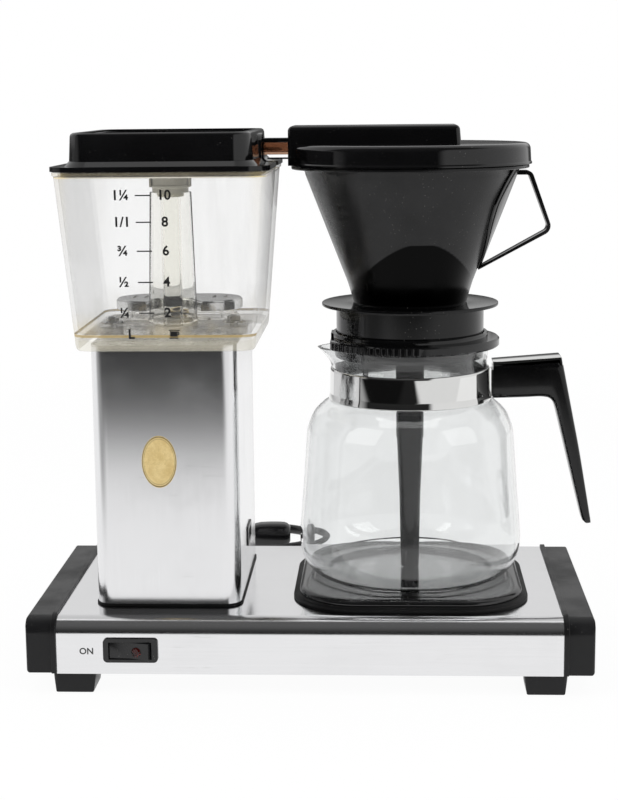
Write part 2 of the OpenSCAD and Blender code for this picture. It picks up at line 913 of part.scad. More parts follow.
module ridge(inset, low) {
    r = 3;
    hull() {
        for (x = [ridge_left + r + inset, ridge_right - 1.6 - r - inset], y = [-1, 1])
            translate([x, y * (ridge_half - 1.5 - r - inset), ridge_top - r - inset])
                sphere(r, $fn = 32);
        for (x = [ridge_left + r + inset, ridge_right - r - inset], y = [-1, 1])
            translate([x, y * (ridge_half - r - inset), low]) cylinder(r = r, h = eps, $fn = 32);
    }
}

module basket_lid() {
    wall = 2.4;
    top = basket_lid_top - basket_lid_z;
    notch = 8.2;
    color("#0d0d0e") difference() {
        union() {
            at_brew(basket_lid_z) rotate_extrude() polygon([
                [0, top - wall], [lid_r - wall - 2, top - wall], [lid_r - wall, top - wall - 2],
                [lid_r - wall, 0], [lid_r + 0.5, 0], [lid_r + 0.5, 0.9], [lid_r, 1.6],
                for (a = [0 : 15 : 90])
                    [lid_r - 4 + 3.6 * cos(a), top - 3.6 + 3.6 * sin(a)],
                [0, top]
            ]);
            ridge(0, basket_lid_z + 0.01);
        }
        ridge(wall, basket_lid_z - 5);
        // Way in for the arm, open below.
        along_x(ridge_left - 5, 12) {
            translate([-notch, basket_lid_z - 5]) square([2 * notch, 19]);
            translate([0, basket_lid_z + 14]) arch(notch, 4.6);
        }
    }
}

// ------------------------------------------------------------- brew basket

module brew_basket() {
    color("#101011") at_brew() difference() {
        union() {
            rotate_extrude() polygon([
                [0, basket_deck - 2], [41.7, basket_deck - 2], [41.7, basket_seat],
                [43.7, basket_seat], [43.7, basket_deck - 2], [52.2, basket_deck - 2],
                [52.2, basket_deck - 0.5], [51.7, basket_deck], [cone_foot.x, basket_deck],
                cone_foot, cone_top, [cone_top.x + 0.5, basket_rim - 2], [69, basket_rim - 2],
                [69.5, basket_rim - 1.5], [69.5, basket_rim - 0.5], [69, basket_rim],
                [0, basket_rim]
            ]);
            basket_waist();
        }
        basket_room();
    }
}

// Room for the paper with ribs that hold it off the wall, and the drip hole.
module basket_room() {
    wall = 2.5;
    floor_top = cone_foot.y + 1.5;
    difference() {
        rotate_extrude() polygon([
            [0, basket_deck - 3], [4, basket_deck - 3], [4, floor_top - 1],
            [cone_foot.x - wall, floor_top], [cone_top.x - wall, basket_rim - 2],
            [cone_top.x - 1, basket_rim], [cone_top.x - 1, basket_rim + 1],
            [0, basket_rim + 1]
        ]);
        for (a = [15 : 30 : 345])
            rotate([0, 0, a]) along_y(-0.7, 1.4) polygon([
                [cone_foot.x - wall - 2, floor_top - 3], [cone_foot.x + 6, floor_top - 3],
                [cone_top.x + 3, cone_top.y - 3], [cone_top.x - wall, cone_top.y - 3],
                [cone_top.x - wall - 5, cone_top.y - 12]
            ]);
    }
}

// Oval body round the foot of the cone, which the cone's wall grows out of.
module basket_waist() {
    low = basket_deck - 1;
    spread = [0.27, 0.31];
    rotate([0, 0, 7.6]) skin([
        for (rise = [0, 38])
            [for (k = [0 : 71])
                let (half = [33.4, 34.5] + rise * spread)
                [half.x * cos(5 * k), -half.y * sin(5 * k), low + rise]]
    ]);
}

// Radius of the cone at height z.
function cone_at(z) =
    cone_foot.x + (z - cone_foot.y) * (cone_top.x - cone_foot.x) / (cone_top.y - cone_foot.y);

// Solid cone that stands proud of the basket's wall by gap, from low to high.
module cone_solid(gap, low, high) {
    at_brew() rotate_extrude() polygon([
        [0, low], [cone_at(low) + gap, low], [cone_at(high) + gap, high], [0, high]
    ]);
}

// Right-hand side of the handle's strap, round both bends.
function strap_side(top_r, foot_r) = [
    for (k = [0 : 6]) [123.1, 288.2] + top_r * direction(90 - k * 70 / 6),
    for (k = [0 : 6]) [131.9, 260.5] + foot_r * direction(20 - k * 82 / 6)
];

// Strap handle: a bent strip that springs from a shield-shaped pad on the cone.
module basket_handle() {
    shield = smooth([
        [23, 294], [26, 287], [27, 279], [26.4, 272], [22.5, 262], [15, 251], [9, 243],
        [5, 237.5], [2.5, 235.6]
    ], 3);
    color("#141415") difference() {
        union() {
            along_y(-6, 12) difference() {
                polygon(concat([[100, 292.7]], strap_side(4.5, 5.5), [[93, 233.9]]));
                polygon(concat([[110, 290.2]], strap_side(2, 3.5), [[94, 236.4]]));
            }
            intersection() {
                cone_solid(1.5, 235, 294);
                along_x(80, 50) polygon(concat(shield, [
                    for (k = [len(shield) - 1 : -1 : 0]) [-shield[k].x, shield[k].y]
                ]));
            }
        }
        cone_solid(fit, 230, 296);
    }
}

// ------------------------------------------------------------------- carafe

// Outline of the glass from the foot to the neck.
glass_side = smooth([
    [50, carafe_z], [58.5, 54], [63.6, 60], [66, 67], [carafe_r, 76], [65.4, 92], [64, 108],
    [62.8, 125], [61.9, 137], [61, 142], [58, 149], [54.6, 153], [50.6, 156.4], [neck_r, 158.7]
], 3);

module carafe_glass() {
    inner = [for (p = glass_side) if (p.x > 53 && p.y > carafe_z + glass) [p.x - glass, p.y]];
    color("#eef3f2", 0.35) difference() {
        union() {
            at_brew() rotate_extrude() polygon(concat(
                [[0, carafe_z]], glass_side,
                [
                    [neck_r, 176], [neck_r - 0.6, 180], [neck_r + 0.2, 187.4],
                    [neck_r - 0.2, rim_z], [0, rim_z]
                ]
            ));
            spout(0);
        }
        at_brew() rotate_extrude() polygon(concat(
            [[0, carafe_z + glass], [49, carafe_z + glass]], inner,
            [
                [48.6, 154.6], [neck_r - glass, 157], [neck_r - glass, 176], [neck_r - glass - 0.3, 182],
                [neck_r - glass, rim_z + 1], [0, rim_z + 1]
            ]
        ));
        spout(glass);
    }
}

// Pouring lip on the left of the neck.
module spout(inset) {
    tip = brew_x + 1.9;
    at_brew() hull() {
        translate([-tip + 5 + inset, 0, rim_z - 4.6])
            cylinder(r = 5 - inset / 3, h = inset > 0 ? 6 : 1.6, $fn = 24);
        translate([-30, 0, rim_z - 12]) cylinder(r = 14 - inset, h = inset > 0 ? 13 : 11, $fn = 32);
    }
}

module carafe_band() {
    color("silver") at_brew() rotate_extrude() polygon([
        [neck_r + 0.1, band_z + 1], [neck_r + 1.6, band_z], [neck_r + 2.2, band_z + 0.4],
        [neck_r + 1.4, band_z + 4], [neck_r + 1, band_z + band_h - 1],
        [neck_r + 0.6, band_z + band_h], [neck_r + 0.1, band_z + band_h]
    ]);
}

// Folded clip that draws the band tight, inside the end of the handle.
module band_clip() {
    color("silver") at_brew(band_z + 1.5) difference() {
        translate([neck_r + 0.6, -6.5, 0]) cube([7, 13, 16]);
        translate([0, 0, -1]) cylinder(r = neck_r + 2, h = 20);
        translate([neck_r + 3.6, -4.5, -1]) cube([10, 9, 20]);
    }
}

// Cross-sections of the handle, from the band round the corner to the end of the
// grip. Each entry is X and Z on the outside, X and Z on the inside, and half width.
handle_line = [
    [104.6, 180.4, 104.6, 158.2, 8.6], [112, 181, 112, 158.4, 9.2],
    [124, 181.9, 124, 158.8, 9.6], [134, 182.6, 132.5, 159.2, 9.8],
    [145, 183.4, 137.2, 158.6, 9.8], [146.4, 177, 139.4, 157, 9.8],
    [148.9, 164.5, 141.4, 153, 9.8], [152.3, 147.6, 145.2, 138.2, 9.7],
    [156.4, 127, 149.9, 119, 9.4], [160.3, 104.8, 154.8, 99, 9],
    [163.1, 88.5, 158.2, 85.6, 8.2], [163.8, 84.6, 159.6, 83.2, 7.4],
    [164.1, 82.4, 160.8, 82, 6.2]
];

module carafe_handle() {
    color("#0f0f10") difference() {
        skin([
            for (h = handle_line)
                let (
                    outer = [h[0], 0, h[1]],
                    inner = [h[2], 0, h[3]],
                    along = cross(unit(inner - outer), [0, 1, 0])
                )
                section((outer + inner) / 2, -along, [0, 1, 0], h[4], norm(outer - inner) / 2, 32, 0.4)
        ]);
        // Seat of the trim strip, and the pocket that hides the clip.
        along_y(-12, 24) trim_outline(0.05, 10);
        translate([100, -6.5 - fit, band_z + 1.5 - fit]) cube([9.5 + 0.1, 13.1, 16.1]);
    }
}

// Bent strip along the top of the handle and down over its corner.
module trim_outline(gap, thick) {
    polygon([
        [104.4 - gap, 178.6 - gap], [143.4 - gap, 181.6 - gap], [144.1 - gap, 178.4 - gap],
        [145.6 + thick, 178.4 - gap], [144.8 + thick, 183.6 + thick], [104.4 - gap, 180.5 + thick]
    ]);
}

module handle_trim() {
    color("silver") along_y(-9.3, 18.6) trim_outline(0, 0);
}

module carafe_lid() {
    lid_edge = 53;
    flat_side = -46.8;
    floor_top = basket_seat;
    color("#111112") at_brew() difference() {
        union() {
            rotate_extrude() polygon([
                [7.4, 190], [40, 190], [40, 184], [neck_r - glass - 0.8, 184],
                [neck_r - glass - 0.8, 190], [lid_edge - 0.8, 190], [lid_edge, 190.8],
                [lid_edge, 194.4], [lid_edge - 0.9, 195.3], [46.3, 195.3], [46.3, 197.8],
                [45.7, 198.4], [44.2, 198.4], [44.2, floor_top], [7.4, floor_top]
            ]);
            // Grip ribs on the front left of the edge.
            for (a = [195 : 4 : 275])
                rotate([0, 0, a]) translate([lid_edge - 0.4, 0, 190.6])
                    cylinder(r = 0.9, h = 4.2, $fn = 16);
            translate([flat_side, -7, 190]) cube([2.4, 14, 8]);
        }
        translate([flat_side - 20, -40, 180]) cube([20, 80, 30]);
    }
}

module mixing_tube() {
    color("#141415") at_brew() rotate_extrude() polygon([
        [6, 190.2], [6, 152], [5.6, 132], [4.8, 98], [4.2, 54], [5.45, 54], [6.35, 98], [7.8, 132],
        [7.8, 133.4], [8.25, 134], [8.25, 152], [8.6, 184], [10, 186], [10, 189.9], [7.3, 189.9],
        [7.3, 192.4], [6, 192.4]
    ]);
}

// ---------------------------------------------------------------- assembly

base_shell();
end_cap_left();
end_cap_right();
bottom_plate();
feet();
foot_screws();
switch_frame();
switch_rocker();
switch_lens();
hot_plate();
hot_plate_seal();
hot_plate_element();
thermostat();
terminal_block();
strain_relief();
cord();
cord_plug();
plug_pins();
column_shell();
column_top_plate();
column_gasket();
rear_panel();
rear_panel_screws();
side_vent();
boiler_tube();
boiler_heater();
boiler_clips();
check_valve();
boiler_hoses();
water_tank();
tank_seals();
tank_studs();
star_washers();
riser_tube();
riser_sleeve();
riser_collar();
filter_plate();
strainer_comb();
tank_lid();
outlet_arm();
arm_cover();
arm_rest();
basket_lid();
brew_basket();
basket_handle();
carafe_glass();
carafe_band();
band_clip();
carafe_handle();
handle_trim();
carafe_lid();
mixing_tube();
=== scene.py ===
"""Drip coffee maker: surfaces, finishes and studio round the packed model."""

import json
import math

import bmesh
import bpy
import numpy as np
from bpy.props import FloatProperty, FloatVectorProperty, PointerProperty
from bpy.types import Operator, Panel, PropertyGroup
from mathutils import Matrix, Vector

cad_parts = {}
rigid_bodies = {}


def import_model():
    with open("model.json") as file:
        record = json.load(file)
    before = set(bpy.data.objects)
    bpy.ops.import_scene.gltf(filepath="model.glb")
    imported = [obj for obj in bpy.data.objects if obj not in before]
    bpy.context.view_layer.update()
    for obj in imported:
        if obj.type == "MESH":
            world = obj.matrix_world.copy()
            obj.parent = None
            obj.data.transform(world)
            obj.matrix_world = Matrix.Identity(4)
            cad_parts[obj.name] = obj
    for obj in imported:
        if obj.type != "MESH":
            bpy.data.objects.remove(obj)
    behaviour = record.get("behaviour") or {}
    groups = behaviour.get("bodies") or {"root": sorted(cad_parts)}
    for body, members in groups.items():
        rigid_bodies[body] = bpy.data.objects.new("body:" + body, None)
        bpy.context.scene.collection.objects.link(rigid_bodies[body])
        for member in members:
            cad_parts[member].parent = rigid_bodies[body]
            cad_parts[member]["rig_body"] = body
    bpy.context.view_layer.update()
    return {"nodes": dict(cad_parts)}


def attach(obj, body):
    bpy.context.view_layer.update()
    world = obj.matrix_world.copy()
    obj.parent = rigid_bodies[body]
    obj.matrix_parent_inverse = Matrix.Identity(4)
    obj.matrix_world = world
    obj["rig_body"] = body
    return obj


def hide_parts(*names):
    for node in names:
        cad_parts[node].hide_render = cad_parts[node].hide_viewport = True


bl_info = {
    "name": "Drip coffee maker",
    "version": (1, 0, 0),
    "blender": (4, 5, 0),
    "location": "View3D > Sidebar > Coffee maker",
    "description": "Builds the coffee maker's visible surfaces and finishes",
    "category": "Object",
}

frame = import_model()
NODES = frame["nodes"]
MM = 0.001

# Places that several pieces share, in millimetres. Pairs are X or radius, and Z, but
# TANK_TOP is width and depth, and TANK_TAPER how much less they are at the floor.
BREW_X = 55.4
BASE_TOP = 44.6
PLATE_TOP = 51.5
RISER_X = -86
COLUMN_X = -85.5
COLUMN_FRONT = -58
TANK_X = -84.25
TANK_Y = -3
TANK_RIM = 296
TANK_FLOOR = 204.5
TANK_TOP, TANK_TAPER = (120, 138), (16, 13.4)
CONE_FOOT, CONE_TOP = (33.2, 218.5), (61.85, 292.5)
BADGE, BADGE_SIZE = (-88.8, 130.7), (10.1, 15.2)


# --- shaders


def _sum(operation, swapped=False):
    """A method that puts one Math node between a wire and another value."""

    def method(self, other=0):
        a, b = (other, self) if swapped else (self, other)
        return self.finish.node("Math", {"operation": operation}, {0: a, 1: b})

    return method


class Wire:
    """One shader output that takes part in Python sums."""

    def __init__(self, finish, socket):
        self.finish, self.socket = finish, socket

    __add__ = __radd__ = _sum("ADD")
    __sub__, __rsub__ = _sum("SUBTRACT"), _sum("SUBTRACT", swapped=True)
    __mul__ = __rmul__ = _sum("MULTIPLY")
    __truediv__ = _sum("DIVIDE")
    __pow__ = _sum("POWER")
    abs = _sum("ABSOLUTE")
    cap = _sum("MINIMUM")
    at_least = _sum("MAXIMUM")

    def ramp(self, low, high, start=0, end=1):
        """Goes smoothly from start to end as the value goes from low to high."""
        return self.finish.node(
            "MapRange",
            {"interpolation_type": "SMOOTHSTEP"},
            {0: self, 1: low, 2: high, 3: start, 4: end},
        )


class Finish:
    """One material, or the world's look where a tree is given, made by node()."""

    def __init__(self, name, tree=None):
        if tree is None:
            self.material = bpy.data.materials.new(name)
            self.material.use_nodes = True
            tree = self.material.node_tree
        self.tree = tree
        self.tree.nodes.clear()

    def node(self, kind, settings=None, inputs=None, out=0):
        """Makes a node: its settings first, then the values or links of its sockets."""
        made = self.tree.nodes.new("ShaderNode" + kind)
        for key, value in (settings or {}).items():
            setattr(made, key, value)
        for key, value in (inputs or {}).items():
            socket = made.inputs[key]
            if isinstance(value, Wire):
                self.tree.links.new(value.socket, socket)
            elif isinstance(value, tuple) and len(value) == 3 and socket.type == "RGBA":
                socket.default_value = (*value, 1)
            else:
                socket.default_value = value
        return Wire(self, made.outputs[out]) if made.outputs else None

    def stretch(self, vector, scale, turn=(0, 0, 0)):
        return self.node("Mapping", None, {"Vector": vector, "Rotation": turn, "Scale": scale})

    def axis(self, vector, name):
        return self.node("SeparateXYZ", None, {0: vector}, out=name)

    def noise(self, vector, scale, detail=3, rough=0.5):
        inputs = {"Vector": vector, "Scale": scale, "Detail": detail, "Roughness": rough}
        return self.node("TexNoise", None, inputs)

    def specks(self, vector, scale, size):
        """1 inside small round specks, one to a cell at most, and 0 elsewhere."""
        near = self.node("TexVoronoi", None, {"Vector": vector, "Scale": scale}, "Distance")
        return near.ramp(size, size * 0.5)

    def mix(self, share, first, second):
        """Colour between first and second."""
        return self.node("Mix", {"data_type": "RGBA"}, {0: share, 6: first, 7: second}, 2)

    def ray(self, kind):
        """1 for rays of the kind, such as Glossy, and 0 for others."""
        return self.node("LightPath", out=f"Is {kind} Ray")

    def blend(self, share, first, second):
        """Shader between first and second."""
        return self.node("MixShader", None, {0: share, 1: first, 2: second})

    def bump(self, height, strength, distance):
        inputs = {"Height": height, "Strength": strength, "Distance": distance}
        return self.node("Bump", None, inputs)

    def surface(self, **inputs):
        """Ends the material in one Principled shader. Names use _ for a space."""
        named = {key.replace("_", " "): value for key, value in inputs.items()}
        named["Specular IOR Level"] = named.pop("Specular", 0.5)
        shader = self.node("BsdfPrincipled", None, named)
        self.node("OutputMaterial", None, {"Surface": shader})
        return self.material


def begin(name):
    """A new finish and its object coordinates, in metres."""
    finish = Finish(name)
    return finish, finish.node("TexCoord", out="Object")


def black_plastic(name, colour, gloss, dust=0.25, grain=0.02, shine=0.5):
    """Moulded black plastic: faint flow of the surface, fine scratches and dust."""
    f, p = begin(name)
    flow = f.noise(p, 60, 2)
    scratch = f.noise(f.stretch(p, (900, 60, 240), (0.3, 0.2, 0.5)), 1, 4, 0.6)
    fine = f.noise(p, 1800, 2)
    smear = f.noise(p, 25, 4, 0.6)
    speck = f.specks(p, 520, 0.13) * f.noise(p, 90, 2).ramp(0.5, 0.72) * dust
    body = f.mix(smear.ramp(0.35, 0.75), colour, tuple(c * 1.6 + 0.0006 for c in colour))
    rough = smear.ramp(0.3, 0.8, gloss * 0.8, gloss * 1.35) + scratch.ramp(0.6, 0.8) * 0.08
    shape = flow * 0.5 + fine * grain + scratch * 0.06
    return f.surface(
        Base_Color=f.mix(speck, body, (0.36, 0.35, 0.33)),
        Roughness=rough + speck * 0.4,
        Normal=f.bump(shape, 0.1, 0.0006),
        Specular=shine,
    )


def brushed_metal(name, colour, rough, lines, strength=0.05, marks=0.5, streak=0.5):
    """Metal with fine parallel lines: lines is the noise scale along X, Y and Z, and
    streak how far they darken it."""
    f, p = begin(name)
    brush = f.noise(f.stretch(p, lines), 1, 3, 0.6)
    coarse = f.noise(f.stretch(p, tuple(s * 0.25 for s in lines)), 1, 2)
    touch = f.noise(p, 22, 5, 0.62)
    scratch = f.noise(f.stretch(p, (40, 900, 500), (0.5, 0.4, 0.7)), 1, 2, 0.7)
    line = scratch.ramp(0.66, 0.72) * touch.ramp(0.45, 0.6) * marks
    dull = tuple(c * 0.86 for c in colour)
    least, most = rough * (1 - 0.3 * streak), rough * (1 + 0.3 * streak)
    shade = f.mix(brush.ramp(0.3, 0.7) * streak + touch.ramp(0.4, 0.8) * 0.2, colour, dull)
    return f.surface(
        Base_Color=f.mix(line * 0.3, shade, (0.45, 0.44, 0.42)),
        Metallic=1,
        Roughness=brush.ramp(0.2, 0.8, least, most) + touch.ramp(0.45, 0.8) * rough * 0.25
        + line * 0.1,
        Normal=f.bump(brush * 0.6 + coarse * 0.4 - line * 0.5, strength, 0.0003),
    )


def soft_metal(name, colour, rough):
    """Plain plated or drawn metal with a cloudy surface."""
    f, p = begin(name)
    cloud = f.noise(p, 70, 5, 0.6)
    pit = f.specks(p, 500, 0.2)
    dull = tuple(c * 0.72 for c in colour)
    return f.surface(
        Base_Color=f.mix(cloud.ramp(0.35, 0.75), colour, dull),
        Metallic=1,
        Roughness=cloud.ramp(0.3, 0.8, rough * 0.7, rough * 1.4) + pit * 0.1,
        Normal=f.bump(cloud * 0.6 - pit * 0.4, 0.06, 0.0004),
    )


def matt_solid(name, colour, rough, grain=0.3, shine=0.5):
    """Matt moulding, rubber or ceramic with a fine even grain."""
    f, p = begin(name)
    fine = f.noise(p, 900, 3)
    cloud = f.noise(p, 40, 4)
    shade = tuple(c * 0.78 for c in colour)
    return f.surface(
        Base_Color=f.mix(cloud.ramp(0.35, 0.7), colour, shade),
        Roughness=cloud.ramp(0.3, 0.8, rough * 0.9, min(1, rough * 1.15)),
        Normal=f.bump(fine, grain, 0.0002),
        Specular=shine,
    )


def clear_solid(name, colour, ior, rough=0, haze=0.02):
    """Clear glass or plastic with faint wipe marks."""
    f, p = begin(name)
    smear = f.noise(p, 45, 5, 0.65)
    wave = f.noise(p, 14, 1)
    return f.surface(
        Base_Color=f.mix(smear.ramp(0.4, 0.8) * 0.5, colour, tuple(c * 0.97 for c in colour)),
        Transmission_Weight=1,
        IOR=ior,
        Roughness=smear.ramp(0.5, 0.85, rough, rough + haze),
        Normal=f.bump(wave, 0.03, 0.001),
    )


def tank_plastic(name, aged):
    """Thin clear moulding, seen most where it is edge on and where it has yellowed at
    its floor line, skirt, rim and corners."""
    f, p = begin(name)
    x, y, z = (f.axis(p, name) for name in "XYZ")
    line = z.ramp(0.2032, 0.2038) * z.ramp(0.2053, 0.2047)
    skirt = z.ramp(0.2040, 0.2030)
    low = z.ramp(0.2260, 0.2060) * z.ramp(0.2040, 0.2050)
    rim = z.ramp(0.2900, 0.2955)
    across, deep = (x - TANK_X * MM).abs(), (y - TANK_Y * MM).abs()
    corner = across.ramp(0.046, 0.058) * deep.ramp(0.052, 0.066)
    cloud = f.noise(p, 38, 5, 0.65)
    streak = f.noise(f.stretch(p, (60, 60, 9)), 1, 4, 0.6).ramp(0.5, 0.8)
    drop = f.specks(p, 300, 0.12) * cloud.ramp(0.5, 0.65)
    # Painted shade: where a wall is edge on to the view it turns darker and less clear.
    facing = f.node("LayerWeight", None, {"Blend": 0.35}, out="Facing")
    edge, grazing_shade = facing**3, facing.ramp(0.8, 0.97)
    flat = f.axis(f.node("NewGeometry", out="Normal"), "Z").abs().ramp(0.6, 0.9)
    age = (line * 0.7 + skirt * 0.3 + low * cloud.ramp(0.35, 0.7) * 0.55 + rim * 0.35
           + corner * 0.4).cap(1) * (1 - flat * 0.8)
    # Painted shade: edge-on walls take the dark brown colour in place of the grey.
    body = f.mix((edge * 0.5 + grazing_shade * 0.4).cap(1), (0.58, 0.58, 0.57), (0.14, 0.12, 0.09))
    tint = f.mix(line, f.mix(skirt, aged, (0.8, 0.72, 0.48)), (0.4, 0.29, 0.11))
    lines = z.ramp(0.2925, 0.2929) * z.ramp(0.2936, 0.2932) + line
    # Painted shade also makes the edge-on walls less clear.
    seen = (0.045 + edge * 0.45 + grazing_shade * 0.3 + age * 0.2 + streak * 0.05 + drop * 0.2
            + (lines * 0.6 + skirt * 0.16) * (1 - flat))
    return f.surface(
        Base_Color=f.mix(age.ramp(0, 0.6), body, tint),
        Alpha=seen.cap(0.95),
        IOR=1.46,
        Roughness=cloud.ramp(0.45, 0.85, 0.04, 0.12) + skirt * 0.1 + drop * 0.2,
        Normal=f.bump(f.noise(p, 16, 1) + streak * 0.1 + drop * 0.1, 0.05, 0.001),
    )


FINISHES = {}


def make_finishes():
    """Makes every finish once, by name, as (maker, what it takes after the name)."""
    colours = bpy.context.scene.coffee_colours
    black, metal = tuple(colours.black), tuple(colours.metal)
    dull, dark = tuple(c * 2.6 for c in black), tuple(c * 3 for c in black)
    plastic, brushed, rubber = black_plastic, brushed_metal, (0.004, 0.004, 0.0042)
    recipes = {
        "gloss_black": (plastic, black, 0.085, 0.35),
        "cap_black": (plastic, dull, 0.4, 0.5, 0.3, 0.32),
        "switch_black": (plastic, dark, 0.3, 0.5, 0.15),
        "plate_black": (plastic, black, 0.16, 0.4, 0.05, 0.75),
        "grip_black": (plastic, black, 0.16, 0.2, 0.03, 0.4),
        "rubber": (matt_solid, rubber, 0.55, 0.3, 0.3),
        "lead": (matt_solid, (0.004, 0.004, 0.0045), 0.22, 0.1),
        "silicone": (matt_solid, (0.72, 0.69, 0.62), 0.5),
        "ceramic": (matt_solid, (0.78, 0.74, 0.66), 0.6),
        "collar": (matt_solid, (0.5, 0.47, 0.37), 0.42),
        "sheet": (brushed, metal, 0.16, (25, 1400, 1400), 0.004, 0.5, 0.15),
        "satin": (brushed, metal, 0.17, (2600, 2600, 25), 0.004, 0.3, 0.12),
        "plated": (soft_metal, (0.62, 0.62, 0.62), 0.3),
        "polished": (soft_metal, (0.7, 0.7, 0.69), 0.12),
        "chrome": (brushed, (0.8, 0.8, 0.79), 0.04, (60, 60, 60), 0.004, 0.3, 0.1),
        "copper": (soft_metal, (0.72, 0.36, 0.2), 0.25),
        "brass": (soft_metal, (0.75, 0.58, 0.26), 0.25),
        "clear": (clear_solid, (0.975, 0.972, 0.95), 1.14, 0.01),
        "glass": (clear_solid, (0.9, 0.908, 0.908), 1.47, 0, 0.008),
        "amber": (clear_solid, (0.36, 0.22, 0.15), 1.46, 0.12),
        "lens": (clear_solid, (0.75, 0.03, 0.02), 1.46, 0.1),
        "ink": (matt_solid, (0.006, 0.006, 0.006), 0.5),
        "print_grey": (matt_solid, (0.05, 0.05, 0.05), 0.5),
        "cone_black": (cone_black, black),
        "tank_plastic": (tank_plastic, tuple(colours.aged)),
        "gilt": (gilt,),
    }
    for name, (make, *facts) in recipes.items():
        FINISHES[name] = make(name, *facts)


# --- surfaces


def added(name, data):
    """A new object in the scene."""
    obj = bpy.data.objects.new(name, data)
    bpy.context.scene.collection.objects.link(obj)
    return obj


def piece(name, points, faces, finish, body, *nodes, sharp=40):
    """A mesh piece from points in millimetres, riding on body and standing for nodes."""
    mesh = bpy.data.meshes.new(name)
    flat = np.asarray(points, float).reshape(-1, 3) * MM
    mesh.from_pydata(flat.tolist(), [], faces)
    return settle(name, mesh, finish, body, nodes, sharp)


def settle(name, mesh, finish, body, nodes, sharp, flatten=False):
    """Closes a mesh's poles and seams, shades it and gives it its finish and body.
    flatten makes one face of those in one plane."""
    work = bmesh.new()
    work.from_mesh(mesh)
    bmesh.ops.remove_doubles(work, verts=work.verts, dist=1e-6)
    if flatten:
        bmesh.ops.dissolve_limit(
            work, angle_limit=math.radians(1), verts=work.verts, edges=work.edges
        )
    bmesh.ops.dissolve_degenerate(work, edges=work.edges, dist=1e-7)
    bmesh.ops.recalc_face_normals(work, faces=work.faces)
    work.to_mesh(mesh)
    work.free()
    mesh.shade_smooth()
    mesh.set_sharp_from_angle(angle=math.radians(sharp))
    mesh.materials.clear()
    mesh.materials.append(FINISHES[finish])
    obj = added(name, mesh)
    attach(obj, body)
    if nodes:
        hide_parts(*nodes)
    return obj


def grid_faces(rows, columns, ends=True):
    """Quads between rows rings of columns points, with the first and last ring capped."""
    last = (rows - 1) * columns
    row, k = np.meshgrid(np.arange(0, last, columns), np.arange(columns), indexing="ij")
    n = (k + 1) % columns
    quads = np.stack([row + k, row + n, row + columns + n, row + columns + k], -1)
    faces = quads.reshape(-1, 4).tolist()
    if ends:
        faces += [list(range(columns))[::-1], list(range(last, last + columns))]
    return faces


def loop_faces(rows, columns):
    """Quads between rings, the last joined to the first."""
    faces = np.array(grid_faces(rows + 1, columns, ends=False))
    return (faces % (rows * columns)).tolist()


def capped(rings):
    """Rings of points as (points, faces), with both ends capped."""
    points = np.asarray(rings)
    return points, grid_faces(*points.shape[:2])


def looped(rings):
    """Rings of points as (points, faces), the last joined to the first."""
    points = np.asarray(rings)
    return points, loop_faces(*points.shape[:2])


def unit(rows):
    """Each row at length 1."""
    return rows / np.maximum(np.linalg.norm(rows, axis=1), 1e-9)[:, None]


def circle(steps):
    """Angles of steps points all round."""
    return np.linspace(0, 2 * math.pi, steps, endpoint=False)


def rounded(corners, radii, steps):
    """A closed polyline with its corners rounded: at each corner an arc, drawn as the
    curve (1-t)^2 A + 2 t (1-t) C + t^2 B between points A and B on its two sides."""
    c = np.asarray(corners, float)
    radii = np.broadcast_to(radii, len(c))
    before, after = np.roll(c, 1, 0) - c, np.roll(c, -1, 0) - c
    room = 0.48 * np.minimum(np.linalg.norm(before, axis=1), np.linalg.norm(after, axis=1))
    cut = np.minimum(radii, room)[:, None]
    a, b = c + unit(before) * cut, c + unit(after) * cut
    t = np.linspace(0, 1, steps)[None, :, None]
    arcs = (1 - t) ** 2 * a[:, None] + 2 * t * (1 - t) * c[:, None] + t**2 * b[:, None]
    return arcs.reshape(-1, c.shape[1])


def smooth(points, steps):
    """Catmull-Rom curve through points: with a, b, c, d in a row, between b and c it is
    0.5 (2b + (c-a) t + (2a-5b+4c-d) t^2 + (3b-a-3c+d) t^3)."""
    p = np.asarray(points, float)
    q = np.vstack([p[:1], p, p[-1:]])
    a, b, c, d = (q[i : len(q) - 3 + i][:, None] for i in range(4))
    t = np.arange(steps)[None, :, None] / steps
    curve = 0.5 * (
        2 * b + (c - a) * t + (2 * a - 5 * b + 4 * c - d) * t**2
        + (3 * b - a - 3 * c + d) * t**3
    )
    return np.vstack([curve.reshape(-1, p.shape[1]), p[-1:]])


def ring(width, depth, corner, centre, steps):
    """Rounded rectangle as points, the same number for any size. corner is one
    radius, or four from the +X +Y corner anticlockwise."""
    radii = np.broadcast_to(corner, 4)
    sx, sy = np.array([1, -1, -1, 1]), np.array([1, 1, -1, -1])
    start = np.radians([0, 90, 180, 270])[:, None]
    turn = start + np.linspace(0, math.pi / 2, steps)[None]
    x = (sx * (width / 2 - radii))[:, None] + radii[:, None] * np.cos(turn)
    y = (sy * (depth / 2 - radii))[:, None] + radii[:, None] * np.sin(turn)
    return np.stack([x.ravel() + centre[0], y.ravel() + centre[1]], -1)


def stack(rings, heights):
    """Rings of XY points at their heights, as one array of points."""
    return np.array([np.insert(r, 2, h, axis=1) for r, h in zip(rings, heights)])


def lathe(profile, steps):
    """Profile of (radius, height) turned about the brewing axis:
    x = r cos a, y = r sin a."""
    p = np.asarray(profile, float)
    a = circle(steps)
    x = p[:, :1] * np.cos(a) + BREW_X
    y = p[:, :1] * np.sin(a)
    return np.stack([x, y, np.broadcast_to(p[:, 1:2], x.shape)], -1)


def moved(points, x):
    """The same points with the brewing axis put at x."""
    return points + (x - BREW_X, 0, 0)


def turned(name, profile, finish, body, *nodes, at=BREW_X, steps=160, sharp=40):
    """A solid of revolution from a closed profile of (radius, height)."""
    solid = looped(moved(lathe(profile, steps), at))
    return piece(name, *solid, finish, body, *nodes, sharp=sharp)


